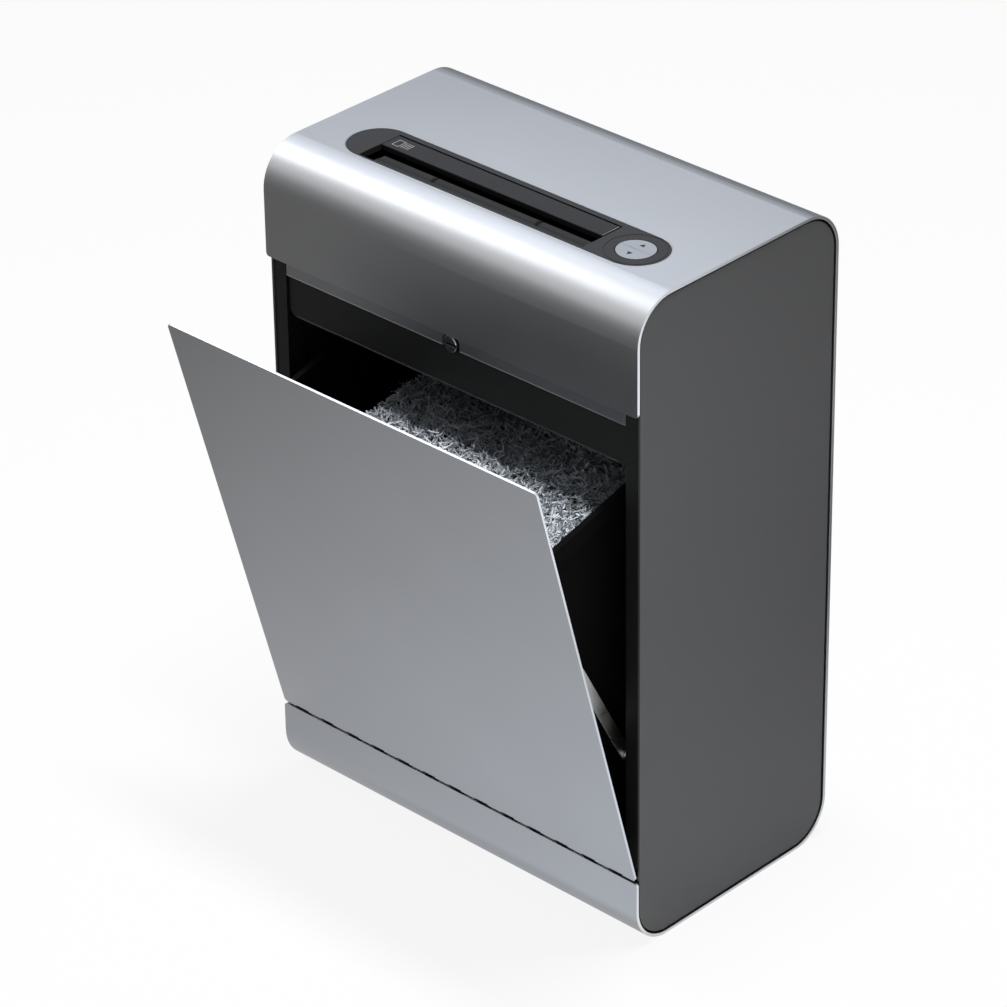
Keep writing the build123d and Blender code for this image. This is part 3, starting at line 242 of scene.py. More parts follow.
def moulded(name, dark, light, roughness, shine=0.5, grain_scale=900.0, grain_depth=0.02 * MM):
    """Moulded plastic with a fine spark-eroded texture and a faint change of gloss."""
    material, tree, shader, coords = new_finish(name)
    shader.inputs["Specular IOR Level"].default_value = shine
    colour = blend_colour(tree, cloud(tree, coords, scale=30.0, detail=4.0), dark, light)
    grain = cloud(tree, coords, grain_scale, detail=3.0)
    gloss = between(tree, grain, low=roughness - 0.06, high=roughness + 0.06, start=0.3, end=0.7)
    dress(tree, shader, colour, gloss, grain, grain_depth, EDGE_ROUND)
    return material


def painted(name, dark, light, roughness, shine=0.5):
    """Powder coat: orange-peel at about a millimetre over a fine speckle."""
    material, tree, shader, coords = new_finish(name)
    shader.inputs["Specular IOR Level"].default_value = shine
    colour = blend_colour(tree, cloud(tree, coords, scale=1400.0), dark, light)
    peel = cloud(tree, coords, scale=700.0)
    patches = cloud(tree, coords, scale=18.0, detail=3.0)
    gloss = between(tree, patches, low=roughness - 0.04, high=roughness + 0.04)
    dress(tree, shader, colour, gloss, peel, 0.015 * MM, EDGE_ROUND)
    return material


def bare_metal(name, dark, light, roughness, drawn=(1.0, 40.0, 40.0)):
    """Drawn, ground or plated metal.

    It has fine lines along X where drawn is uneven, and a little wear in the gloss.
    """
    material, tree, shader, coords = new_finish(name)
    shader.inputs["Metallic"].default_value = 1.0
    lines = cloud(tree, stretch(tree, coords, drawn), scale=60.0, detail=4.0)
    colour = blend_colour(tree, lines, dark, light)
    gloss = between(tree, lines, low=roughness - 0.08, high=roughness + 0.08, start=0.3, end=0.7)
    dress(tree, shader, colour, gloss, lines, 0.02 * MM, METAL_EDGE_ROUND)
    return material


def cut_paper(name, light, dark):
    """Office paper: a tone from each strip's attribute, random and darkened by painted shade on the deeper
    strips and the core; fine fibres; and grey print on some strips.
    """
    material, tree, shader, coords = new_finish(name)
    tone_and_shade = tree.nodes.new("ShaderNodeAttribute")
    tone_and_shade.attribute_name = "tone_and_shade"
    colour = blend_colour(tree, tone_and_shade.outputs["Fac"], dark, light)
    print_lines = cloud(tree, stretch(tree, coords, (1.0, 3.0, 3.0)), scale=420.0, detail=3.0)
    printed = arithmetic(tree, "GREATER_THAN", print_lines, PRINT_FROM)
    inked = arithmetic(tree, "MULTIPLY", printed, PRINT_SHARE)
    colour = blend_colour(tree, inked, colour, PRINT_GREY)
    tree.links.new(colour, shader.inputs["Base Color"])
    shader.inputs["Roughness"].default_value = 0.85
    shader.inputs["Specular IOR Level"].default_value = 0.03
    raise_surface(tree, shader, cloud(tree, coords, scale=3000.0), 0.03 * MM)
    return material


EVEN = (1.0, 1.0, 1.0)
FINISHES = {
    "band": satin_metal("satin_band", (0.475, 0.478, 0.485), (0.505, 0.508, 0.515), roughness=0.36,
                        cut_edge=(0.84, 0.845, 0.86)),
    "door": satin_metal("satin_door", (0.465, 0.468, 0.475), (0.495, 0.498, 0.505), roughness=0.38,
                        cut_edge=(0.76, 0.77, 0.79), across=door_in),
    "rail": satin_metal("satin_rail", (0.40, 0.405, 0.415), (0.44, 0.445, 0.455), roughness=0.34),
    "sides": painted("side_coat", (0.105, 0.106, 0.108), (0.121, 0.122, 0.124), roughness=0.5, shine=0.4),
    "black_steel": painted("frame_black", (0.008, 0.008, 0.0075), (0.012, 0.012, 0.011), roughness=0.5,
                           shine=0.37),
    "black_plastic": moulded("bin_black", (0.003, 0.003, 0.003), (0.005, 0.005, 0.005), roughness=0.7,
                             shine=0.05),
    "charcoal": moulded("panel_charcoal", (0.019, 0.019, 0.020), (0.024, 0.024, 0.025), roughness=0.5,
                        shine=0.165),
    "silver": moulded("button_silver", (0.215, 0.232, 0.26), (0.24, 0.257, 0.285), roughness=0.4, shine=0.4,
                      grain_scale=1500.0, grain_depth=0.01 * MM),
    # The dark paper colour is painted shade, for the deep strips and the lump under them
    "paper": cut_paper("cut_paper", light=(0.85, 0.90, 0.96), dark=(0.012, 0.012, 0.013)),
    "board": moulded("board_green", (0.02, 0.11, 0.05), (0.03, 0.14, 0.06), roughness=0.35),
    "bronze": bare_metal("bush_bronze", (0.42, 0.27, 0.12), (0.55, 0.36, 0.17), roughness=0.4, drawn=EVEN),
    "nylon": moulded("gear_nylon", (0.70, 0.69, 0.64), (0.76, 0.75, 0.70), roughness=0.45),
    "motor_black": painted("motor_coat", (0.03, 0.03, 0.032), (0.04, 0.04, 0.042), roughness=0.4),
    "hinge_black": painted("hinge_coat", (0.012, 0.012, 0.013), (0.018, 0.018, 0.019), roughness=0.45,
                           shine=0.4),
    "dark_steel": bare_metal("cutter_steel", (0.16, 0.16, 0.17), (0.24, 0.24, 0.25), roughness=0.36),
    "zinc": bare_metal("zinc_plate", (0.52, 0.51, 0.48), (0.62, 0.61, 0.58), roughness=0.34, drawn=EVEN),
    "steel": bare_metal("bright_steel", (0.45, 0.46, 0.47), (0.55, 0.56, 0.57), roughness=0.32),
}
for row in record["subparts"]:
    slots = nodes[row["node"]].data.materials
    slots.clear()
    slots.append(FINISHES[row["material_slot"]])

# Pieces that look unlike the rest of their slot
OWN_FINISHES = {
    "head_tray": painted("skirt_black", (0.010, 0.010, 0.009), (0.014, 0.014, 0.013), roughness=0.5,
                         shine=0.36),
    # The door leaf's knuckles are steel grey made lighter against the shade in the hinge gap: partly their
    # own colour, partly painted light
    "hinge_door_leaf": painted("hinge_painted_light_grey", (0.44, 0.44, 0.445), (0.50, 0.50, 0.505), roughness=0.45,
                               shine=0.4),
    # The frame leaf's knuckles are near black for the shade in the nicks: painted shade
    "hinge_frame_leaf": painted("hinge_black", (0.003, 0.003, 0.003), (0.005, 0.005, 0.005), roughness=0.5,
                                shine=0.1),
    "feed_guide": moulded("guide_black", (0.012, 0.012, 0.0125), (0.018, 0.018, 0.0185), roughness=0.55,
                          shine=0.13),
    "safety_flap": moulded("flap_charcoal", (0.016, 0.016, 0.017), (0.020, 0.020, 0.021), roughness=0.5,
                           shine=0.13),
    "power_inlet": moulded("inlet_black", (0.020, 0.020, 0.021), (0.028, 0.028, 0.029), roughness=0.45),
    "latch_plunger": bare_metal("latch_steel", (0.28, 0.28, 0.285), (0.34, 0.34, 0.345), roughness=0.3,
                                drawn=EVEN),
}
for name, finish in OWN_FINISHES.items():
    nodes[name].data.materials[0] = finish


# Paper shreds

BIN_COLLAR = 3.0 * MM
BIN_WALL = 2.2 * MM
BIN_DRAFT = 6.0 * MM
PAPER_CLEAR = 0.6 * MM
HEAP_FOOT_IN = 34.0 * MM
HEAP_CREST_IN = 84.0 * MM
HEAP_LEFT_DROP = 165.0 * MM
HEAP_BELOW_RIM = 5.0 * MM
HEAP_SKEW = 0.12
BROAD_WAVE_MM = 3.0
BROAD_WAVES_PER_M = (61.0, 83.0)
FINE_WAVE_MM = 2.0
FINE_WAVES_PER_M = (137.0, 109.0)
HOLLOW_DEPTH = 5.0 * MM
HOLLOW_START = 0.06
HOLLOW_RUN = 0.09
CORE_BELOW_HEAP = 5.0 * MM
CORE_COLUMNS = 160
CORE_WALL_ROWS = 8
CORE_TOP_ROWS = 60
CORE_SQUARENESS = 0.16
CORE_FLOOR_SHARES = (0.02, 1.0)
CORE_WALL_LIFTS = (0.1, 0.96)
CORE_TOP_SHARES = (1.0, 0.01)
STRIPS_PER_LAYER = 6500
STRIP_STATIONS = 4
PLACES_PER_STRIP = 8
SLOPE_STEP = 0.5 * MM
STRIP_LENGTHS_MM = (7.0, 15.0)
STRIP_WIDTHS_MM = (0.8, 1.3)
STRIP_THICKNESS = 0.14 * MM
STRIP_LIFT_MM = 5.0
STRIP_TIP = 0.8
STRIP_CURL = 1.9
LEAST_CURL = 0.05
STRIP_TINTS = (0.36, 1.0)
SHADE_BELOW_MM = 6.5
SHADE_RUN_MM = 8.0
OVER_RIM = 3.0 * MM
bin_places = to_door(node_points("waste_bin"))
heap_places = to_door(node_points("paper_shreds"))
rim_height = bin_places[:, 2].max()
floor_height = heap_places[:, 2].min()
bin_middle = (bin_places[:, 1].min() + bin_places[:, 1].max()) / 2
rim_half_width = bin_places[:, 0].max() - BIN_COLLAR - BIN_WALL - PAPER_CLEAR
rim_half_depth = bin_places[:, 1].max() - bin_middle - BIN_COLLAR - BIN_WALL - PAPER_CLEAR


def bin_half(height):
    """Half width and half depth of the room in the bin at a height: the rim's, less the walls' draft."""
    inset = BIN_DRAFT * (rim_height - height) / (rim_height - floor_height)
    return rim_half_width - inset, rim_half_depth - inset


def smooth(value):
    """Zero below 0, one above 1 and an S-shaped rise between."""
    held = np.clip(value, 0.0, 1.0)
    return held * held * (3.0 - 2.0 * held)


def heap_height(x, depth):
    """Height of the heap: level near the rim and falling to the left by an S-curve.

    A broad and a fine low wave run all over it, and its right end is a little hollow.
    """
    from_foot = x + rim_half_width - HEAP_FOOT_IN - HEAP_SKEW * (depth - bin_middle)
    rise = smooth(from_foot / (HEAP_CREST_IN - HEAP_FOOT_IN))
    broad = BROAD_WAVE_MM * np.sin(x * BROAD_WAVES_PER_M[0] + 1.0) * np.sin(depth * BROAD_WAVES_PER_M[1])
    fine = FINE_WAVE_MM * np.sin(x * FINE_WAVES_PER_M[0] + depth * FINE_WAVES_PER_M[1])
    hollow = HOLLOW_DEPTH * smooth((x - HOLLOW_START) / HOLLOW_RUN)
    return rim_height - HEAP_BELOW_RIM - HEAP_LEFT_DROP * (1.0 - rise) + (broad + fine) * MM - hollow


def heap_core():
    """Closed lump under the loose strips.

    Rows run from the middle of the floor out to the wall, up the wall and back over the top to its middle;
    columns run round a rounded rectangle, so each point is a share of the way from the middle to the wall.
    """
    around = np.linspace(0.0, 2.0 * np.pi, CORE_COLUMNS + 1)[:-1]
    cosine, sine = np.cos(around), np.sin(around)
    ring_x = np.sign(cosine) * np.abs(cosine) ** CORE_SQUARENESS
    ring_depth = np.sign(sine) * np.abs(sine) ** CORE_SQUARENESS
    top_share = np.linspace(*CORE_TOP_SHARES, CORE_TOP_ROWS)
    share = np.concatenate([CORE_FLOOR_SHARES, np.ones(CORE_WALL_ROWS), top_share])
    wall_lift = np.linspace(*CORE_WALL_LIFTS, CORE_WALL_ROWS)
    lift = np.concatenate([np.zeros(len(CORE_FLOOR_SHARES)), wall_lift, np.ones(CORE_TOP_ROWS)])
    half_x, half_depth = bin_half(floor_height)
    x = share[:, None] * ring_x * half_x
    depth = bin_middle + share[:, None] * ring_depth * half_depth
    top = heap_height(x, depth) - CORE_BELOW_HEAP
    height = floor_height + lift[:, None] * (top - floor_height)
    wide_x, wide_depth = bin_half(height)
    wide_place = bin_middle + (depth - bin_middle) * wide_depth / half_depth
    places = np.stack([x * wide_x / half_x, wide_place, height], -1)
    rows, columns = x.shape
    faces = grid_faces(rows, columns, wrap=True).tolist()
    faces.append(list(range(columns))[::-1])
    faces.append([(rows - 1) * columns + i for i in range(columns)])
    return from_door(places).reshape(-1, 3), faces


def strip_places(draw, count):
    """Places of strips on the heap, and the direction out of the heap at each.

    They are drawn from a larger even spread by the slope's area there, so a steep slope is covered as well
    as the level top.
    """
    half_x, half_depth = bin_half(rim_height)
    x = draw.uniform(-half_x, half_x, PLACES_PER_STRIP * count)
    depth = bin_middle + draw.uniform(-half_depth, half_depth, PLACES_PER_STRIP * count)
    rise_x = heap_height(x + SLOPE_STEP, depth) - heap_height(x - SLOPE_STEP, depth)
    rise_depth = heap_height(x, depth + SLOPE_STEP) - heap_height(x, depth - SLOPE_STEP)
    slope_x, slope_depth = rise_x / (2 * SLOPE_STEP), rise_depth / (2 * SLOPE_STEP)
    area = np.sqrt(1.0 + slope_x ** 2 + slope_depth ** 2)
    kept = draw.choice(len(area), count, replace=False, p=area / area.sum())
    x, depth = x[kept], depth[kept]
    outward = np.stack([-slope_x[kept], -slope_depth[kept], np.ones(count)], -1) / area[kept, None]
    return np.stack([x, depth, heap_height(x, depth)], -1), outward


def push_inside(strips):
    """Strips, each a row of points, moved whole until inside the walls and at most just over the rim."""
    limit_x, limit_depth = bin_half(np.clip(strips[..., 2].min(axis=1), floor_height, rim_height))
    for axis, low, high in ((0, -limit_x, limit_x), (1, bin_middle - limit_depth, bin_middle + limit_depth)):
        push = np.maximum(low - strips[..., axis].min(axis=1), 0.0)
        push -= np.maximum(strips[..., axis].max(axis=1) - high, 0.0)
        strips[..., axis] += push[:, None]
    ceiling = rim_height + OVER_RIM
    strips[..., 2] -= np.maximum(strips[..., 2].max(axis=1) - ceiling, 0.0)[:, None]
    return strips


def shred_strips(count, seed):
    """Loose cross-cut strips lying on the heap.

    Each strip is a flat rectangle section carried along an arc: at a share t of its length it has turned by
    its curl times t, so it lies at (sin, 1 - cos) over the curl. The strips are turned into the slope of the
    heap, tipped at random, then pushed back inside the walls. The deeper ones get a darker tone, a painted
    shade for their depth in the heap.
    """
    draw = np.random.default_rng(seed)
    place, outward = strip_places(draw, count)
    normal = outward + draw.normal(0.0, STRIP_TIP, (count, 3))
    normal /= np.linalg.norm(normal, axis=1, keepdims=True)
    heading = draw.normal(size=(count, 3))
    heading -= normal * np.sum(heading * normal, axis=1, keepdims=True)
    heading /= np.linalg.norm(heading, axis=1, keepdims=True)
    side = np.cross(normal, heading)
    length = draw.uniform(*STRIP_LENGTHS_MM, count) * MM
    width = draw.uniform(*STRIP_WIDTHS_MM, count) * MM
    curl = draw.normal(0.0, STRIP_CURL, count)
    curl = np.where(np.abs(curl) < LEAST_CURL, LEAST_CURL, curl)
    angle = curl[:, None] * np.linspace(-0.5, 0.5, STRIP_STATIONS)
    forward = np.sin(angle) / curl[:, None] * length[:, None]
    over = (1.0 - np.cos(angle)) / curl[:, None] * length[:, None]
    lift = draw.uniform(-STRIP_LIFT_MM, STRIP_LIFT_MM, count)
    centre = place + lift[:, None] * MM * outward
    spine = centre[:, None] + forward[..., None] * heading[:, None] + over[..., None] * normal[:, None]
    corners = np.array([(-0.5, -0.5), (0.5, -0.5), (0.5, 0.5), (-0.5, 0.5)])
    offset = (corners[:, :1] * width[:, None, None] * side[:, None]
              + corners[:, 1:] * STRIP_THICKNESS * normal[:, None])
    strips = push_inside((spine[:, :, None] + offset[:, None]).reshape(count, -1, 3))
    each = 4 * STRIP_STATIONS
    ends = [[0, 3, 2, 1], [each - 4, each - 3, each - 2, each - 1]]
    one = np.concatenate([grid_faces(STRIP_STATIONS, 4, wrap=True), ends])[:, ::-1]
    faces = (one[None] + each * np.arange(count)[:, None, None]).reshape(-1, 4)
    # Painted shade: each strip's random tone is darkened the deeper it lies in the heap
    tone_and_shade = draw.uniform(*STRIP_TINTS, count) * smooth((lift + SHADE_BELOW_MM) / SHADE_RUN_MM)
    return from_door(strips.reshape(-1, 3)), faces, np.repeat(tone_and_shade, each)


def add_paper(name, points, faces, tone_and_shade):
    """A piece of the heap with a tone and painted shade at each point, which takes the place of the plain
    solid.
    """
    piece = add_piece(name, points, faces, FINISHES["paper"], "door")
    layer = piece.data.attributes.new("tone_and_shade", "FLOAT", "POINT")
    layer.data.foreach_set("value", tone_and_shade)
    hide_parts("paper_shreds")


# The lump under the strips takes the darkest paper colour: painted shade in the gaps between strips
points, faces = heap_core()
add_paper("shred_core", points, faces, np.zeros(len(points)))
for name, seed in (("shred_strips_low", 11), ("shred_strips_middle", 13), ("shred_strips_high", 14),
                   ("shred_strips_top", 12)):
    add_paper(name, *shred_strips(STRIPS_PER_LAYER, seed))


# Thin trim: black strips as painted shade in the gaps beside the side panels, the skirt's hem and the rail
# edges in lighter colours as painted highlights, a black bar as painted shade in the latch slot, the feed
# panel's rim, and the flap's end as a painted highlight

SECTION_SIDES = 8
BEND_RADIUS = 36.0 * MM
BEND_STEPS = 24
BAND_SHEET = 2.5 * MM
SHADE_STRIP_DEPTH = 0.9 * MM
SAME_LEVEL = 0.01 * MM
SKIRT_CORNER = 8.0 * MM
HEM_RADIUS = 0.8 * MM
HEM_IN = 0.3 * MM
NOTCH_CLEAR = 2.0 * MM
RAIL_EDGE = 0.25 * MM
SLOT_HALF = 0.98 * MM
SLOT_SHADE_IN = 0.65 * MM
SLOT_SHADE_HALF = 0.5 * MM
SLOT_END_IN = 0.9 * MM
RIM_HALF = 0.45 * MM
RIM_HEIGHT = 0.1 * MM
PANEL_FIT = 0.2 * MM
FLAP_EDGE = 0.35 * MM
FLAP_EDGE_HIGH = 0.08 * MM


def carry(path, outward, up, half_wide, half_high, closed=False):
    """An elliptic section carried along a path.

    Each row is a point of the path, plus the cosine times the half width along its outward direction and the
    sine times the half height along up. A closed path joins its last row to its first; an open one has ends.
    """
    turn = np.linspace(0.0, 2.0 * np.pi, SECTION_SIDES + 1)[:-1, None]
    rows = len(path)
    points = path[:, None] + half_wide * np.cos(turn) * outward[:, None] + half_high * np.sin(turn) * up
    total = rows * SECTION_SIDES
    faces = (grid_faces(rows + 1 if closed else rows, SECTION_SIDES, wrap=True) % total).tolist()
    if not closed:
        faces.append(list(range(SECTION_SIDES))[::-1])
        faces.append(list(range(total - SECTION_SIDES, total)))
    if np.cross(outward[0], up) @ (path[1] - path[0]) < 0.0:
        faces = [face[::-1] for face in faces]
    return points.reshape(-1, 3), faces


def straight(start, end, outward, up, half_wide, half_high):
    """A bead with an elliptic section from one point to another."""
    return carry(np.array([start, end]), np.array([outward, outward]), up, half_wide, half_high)


# Near-black finish for painted shade in gaps and slots
gap_shade_black = moulded("gap_shade_black", (0.002, 0.002, 0.002), (0.004, 0.004, 0.004), roughness=0.7, shine=0.05)
band_low, band_high = node_box("wrap_shell")
band_points = node_points("wrap_shell")
front_heights = np.sort(band_points[band_points[:, 1] < band_low[1] + SAME_LEVEL, 2])
mouth_step = np.argmax(np.diff(front_heights))
lip_top, apron_low = front_heights[mouth_step], front_heights[mouth_step + 1]


def shade_strip_path(x, inset):
    """Path round a side panel: up from the apron's lower edge, over four bends and back up to the lip's top.

    Each bend is a quarter circle whose radius is the band's less the inset. It also gives the outward
    direction.
    """
    radius = BEND_RADIUS - inset
    low, high = band_low[1:] + BEND_RADIUS, band_high[1:] - BEND_RADIUS
    centres = np.array([(low[0], high[1]), (high[0], high[1]), (high[0], low[1]), (low[0], low[1])])
    angle = np.linspace(np.pi, -np.pi, 4 * BEND_STEPS + 1)
    quarter = np.concatenate([angle[i * BEND_STEPS:(i + 1) * BEND_STEPS + 1] for i in range(4)])
    outward = np.stack([np.zeros(quarter.size), np.cos(quarter), np.sin(quarter)], -1)
    bends = np.repeat(centres, BEND_STEPS + 1, axis=0) + radius * outward[:, 1:]
    front = band_low[1] + inset
    flat = np.concatenate([[(front, apron_low)], bends, [(front, lip_top)]])
    outward = np.concatenate([[-INWARDS], outward, [-INWARDS]])
    return np.concatenate([np.full((len(flat), 1), x), flat], axis=1), outward


# Black strips fill the gaps between the band and the side panels: painted shade, a dark line where there is
# only a shadow gap
for name, panel, side in (("left_panel_shade_strip", "left_side_panel", -1),
                          ("right_panel_shade_strip", "right_side_panel", 1)):
    panel_low, panel_high = node_box(panel)
    gap = panel_low[1] - band_low[1] - BAND_SHEET
    middle_x = side * (max(abs(panel_low[0]), abs(panel_high[0])) - SHADE_STRIP_DEPTH)
    path, outward = shade_strip_path(middle_x, BAND_SHEET + gap / 2)
    points, faces = carry(path, outward, ACROSS, gap / 2, SHADE_STRIP_DEPTH / 2)
    add_piece(name, points, faces, gap_shade_black, "cabinet")

skirt_low, skirt_high = node_box("head_tray")
# The hem along the skirt's lower edge is a lighter grey than the black skirt: a painted highlight where its
# edge catches light
hem_highlight_grey = painted("hem_highlight_grey", (0.05, 0.05, 0.05), (0.065, 0.065, 0.065), roughness=0.4, shine=0.5)
hem_y = skirt_low[1] + HEM_IN
hem_z = skirt_low[2] + HEM_RADIUS
hem_start = (skirt_low[0] + SKIRT_CORNER, hem_y, hem_z)
hem_end = (skirt_high[0] - SKIRT_CORNER, hem_y, hem_z)
points, faces = straight(hem_start, hem_end, INWARDS, UPWARDS, HEM_RADIUS, HEM_RADIUS)
add_piece("skirt_hem", points, faces, hem_highlight_grey, "cabinet")

rail_low, rail_high = node_box("door_stop_rail")
latch_low, latch_high = node_box("latch_plunger")
rail_bright = satin_metal("rail_bright", (0.46, 0.465, 0.475), (0.52, 0.525, 0.535), roughness=0.3)
edge_y = rail_low[1] + RAIL_EDGE / 2
edge_z = rail_low[2] + RAIL_EDGE
# Beads along the rail's lower edge in a lighter metal than the rail: a painted highlight on the edge
for name, start, end in (("rail_edge_left", rail_low[0], latch_low[0] - NOTCH_CLEAR),
                         ("rail_edge_right", latch_high[0] + NOTCH_CLEAR, rail_high[0])):
    points, faces = straight((start, edge_y, edge_z), (end, edge_y, edge_z), INWARDS, UPWARDS,
                             RAIL_EDGE, RAIL_EDGE)
    add_piece(name, points, faces, rail_bright, "cabinet")

# A black bar at the bottom of the latch's slot: painted shade
slot_middle = np.array([0.0, latch_low[1] + SLOT_SHADE_IN, (latch_low[2] + latch_high[2]) / 2])
slot_reach = (latch_high[0] - SLOT_END_IN) * ACROSS
points, faces = straight(slot_middle - slot_reach, slot_middle + slot_reach, INWARDS, UPWARDS,
                         SLOT_SHADE_HALF, SLOT_HALF)
add_piece("latch_slot_shade", points, faces, gap_shade_black, "latch")

inlay_points = node_points("feed_panel")
inlay_points = inlay_points[inlay_points[:, 2] > band_high[2] - SAME_LEVEL]
inlay_low, inlay_high = inlay_points.min(axis=0), inlay_points.max(axis=0)
cap_radius = (inlay_high[1] - inlay_low[1]) / 2
rim_radius = cap_radius + PANEL_FIT + RIM_HALF
right_cap, left_cap = np.linspace(-0.5, 0.5, 2 * BEND_STEPS), np.linspace(0.5, 1.5, 2 * BEND_STEPS)
around = np.concatenate([right_cap, left_cap]) * np.pi
rim_out = np.stack([np.cos(around), np.sin(around), np.zeros(around.size)], -1)
cap_side = np.repeat([1.0, -1.0], 2 * BEND_STEPS)[:, None]
rim_middle = np.array([0.0, (inlay_low[1] + inlay_high[1]) / 2, band_high[2]])
rim_path = rim_middle + cap_side * (inlay_high[0] - cap_radius) * ACROSS + rim_radius * rim_out
points, faces = carry(rim_path, rim_out, UPWARDS, RIM_HALF, RIM_HEIGHT, closed=True)
add_piece("feed_panel_rim", points, faces, rail_bright, "cabinet")

flap_low, flap_high = node_box("safety_flap")
# A light grey line along the flap's end, far lighter than the charcoal flap: a painted highlight on its end
# face
flap_end_highlight_grey = moulded("flap_end_highlight_grey", (0.17, 0.17, 0.175), (0.21, 0.21, 0.215), roughness=0.45)
edge_x = flap_high[0] - FLAP_EDGE
edge_start = (edge_x, flap_low[1] + FLAP_EDGE, flap_high[2])
edge_end = (edge_x, flap_high[1] - FLAP_EDGE, flap_high[2])
points, faces = straight(edge_start, edge_end, ACROSS, UPWARDS, FLAP_EDGE, FLAP_EDGE_HIGH)
add_piece("flap_end_highlight", points, faces, flap_end_highlight_grey, "flap")


# Two signs on the flap: a page, and a page cut into strips

PAGE_WIDE = 6.6 * MM
PAGE_TALL = 9.0 * MM
STRIP_COUNT = 4
SIGN_STEP = 8.8 * MM
SIGN_IN = 9.2 * MM
LINE_HALF = 0.32 * MM
LINE_HIGH = 0.06 * MM


def sideways(corners, closed):
    """Side direction at each corner of a flat line.

    It is the normals of the corner's two runs added, over one plus their product.
    """
    runs = np.roll(corners, -1, axis=0) - corners
    after = np.stack([-runs[:, 1], runs[:, 0]], -1) / np.linalg.norm(runs, axis=1, keepdims=True)
    before = np.roll(after, 1, axis=0)
    if not closed:
        after[-1] = before[-1]
        before[0] = after[0]
    return (before + after) / (1.0 + np.sum(before * after, axis=1, keepdims=True))


def drawn_line(corners, height, closed):
    """A raised line through corners in X and Y at one height."""
    corners = np.array(corners)
    level = np.full((len(corners), 1), height)
    path = np.concatenate([corners, level], 1)
    outward = np.concatenate([sideways(corners, closed), 0.0 * level], 1)
    return carry(path, outward, UPWARDS, LINE_HALF, LINE_HIGH, closed)


def join(parts):
    """Several shapes as one: points in a row, and each shape's faces counted on from the points before."""
    starts = np.cumsum([0] + [len(points) for points, _ in parts])
    faces = [[int(start) + corner for corner in face]
             for (_, group), start in zip(parts, starts) for face in group]
    return np.concatenate([points for points, _ in parts]), faces


sign_grey = moulded("sign_grey", (0.36, 0.36, 0.37), (0.42, 0.42, 0.43), roughness=0.5)
sign_y = (flap_low[1] + flap_high[1]) / 2
sign_low, sign_high = sign_y - PAGE_TALL / 2, sign_y + PAGE_TALL / 2
page_left = flap_low[0] + SIGN_IN - PAGE_WIDE / 2
page_right = page_left + PAGE_WIDE
page = [(page_left, sign_low), (page_right, sign_low), (page_right, sign_high), (page_left, sign_high)]
sign_lines = [drawn_line(page, flap_high[2], closed=True)]
for x in np.linspace(page_left, page_right, STRIP_COUNT) + SIGN_STEP:
    sign_lines.append(drawn_line([(x, sign_low), (x, sign_high)], flap_high[2], closed=False))
points, faces = join(sign_lines)
add_piece("page_signs", points, faces, sign_grey, "flap")


# Printed arrows on the rocker's two halves, and the fine line between them

ROCKER_DROP = 0.35 * MM
ROCKER_RADIUS = 15.4 * MM
ARROW_TALL = 4.2 * MM
ARROW_HALF = 2.3 * MM
ARROW_OUT = 8.2 * MM
ARROW_THICK = 0.08 * MM
SEAM_HALF_LENGTH = 14.2 * MM
SEAM_HALF_WIDE = 0.2 * MM
SEAM_HIGH = 0.01 * MM


def plate_on(centre, outline, thickness, slope):
    """Thin closed plate over an outline in X and Y, whose top follows a slope along Y from the centre."""
    outline = np.asarray(outline)
    flat = np.concatenate([outline, np.zeros((len(outline), 1))], axis=1)
    flat[:, 2] = slope * np.abs(flat[:, 1])
    top = flat + centre + (0.0, 0.0, thickness)
    bottom = flat + centre - (0.0, 0.0, thickness)
    count = len(outline)
    index = np.arange(count)
    after = (index + 1) % count
    faces = [list(count + index), list(index[::-1])]
    faces += np.stack([index, after, count + after, count + index], -1).tolist()
    return np.concatenate([bottom, top]), faces


rocker_low, rocker_high = node_box("rocker_button")
rocker_top = np.append((rocker_low + rocker_high)[:2] / 2, rocker_high[2])
arrow_ink = moulded("arrow_ink", (0.006, 0.006, 0.007), (0.010, 0.010, 0.011), roughness=0.5, shine=0.2)
for name, way in (("reverse_arrow", 1), ("forward_arrow", -1)):
    tip = way * (ARROW_OUT + ARROW_TALL / 2)
    base = way * (ARROW_OUT - ARROW_TALL / 2)
    shape = [(-ARROW_HALF * way, base), (ARROW_HALF * way, base), (0.0, tip)]
    points, faces = plate_on(rocker_top, shape, ARROW_THICK, -ROCKER_DROP / ROCKER_RADIUS)
    add_piece(name, points, faces, arrow_ink, "rocker")
seam_grey = moulded("seam_grey", (0.20, 0.21, 0.23), (0.25, 0.26, 0.28), roughness=0.5, shine=0.2)
seam_reach = SEAM_HALF_LENGTH * ACROSS
points, faces = straight(rocker_top - seam_reach, rocker_top + seam_reach, INWARDS, UPWARDS,
                         SEAM_HALF_WIDE, SEAM_HIGH)
add_piece("rocker_seam", points, faces, seam_grey, "rocker")


# Camera

PHOTO_SIDE = 1007.0
SENSOR = 36.0
FOCAL_PIXELS = 4878.4
CAMERA_AZIMUTH = radians(43.906)
CAMERA_ELEVATION = radians(30.251)
CAMERA_ROLL = -0.01409
CAMERA_DISTANCE = 3.8317
CAMERA_SIDE = -0.03656
CAMERA_RISE = -0.00415
CAMERA_REACH = 50.0


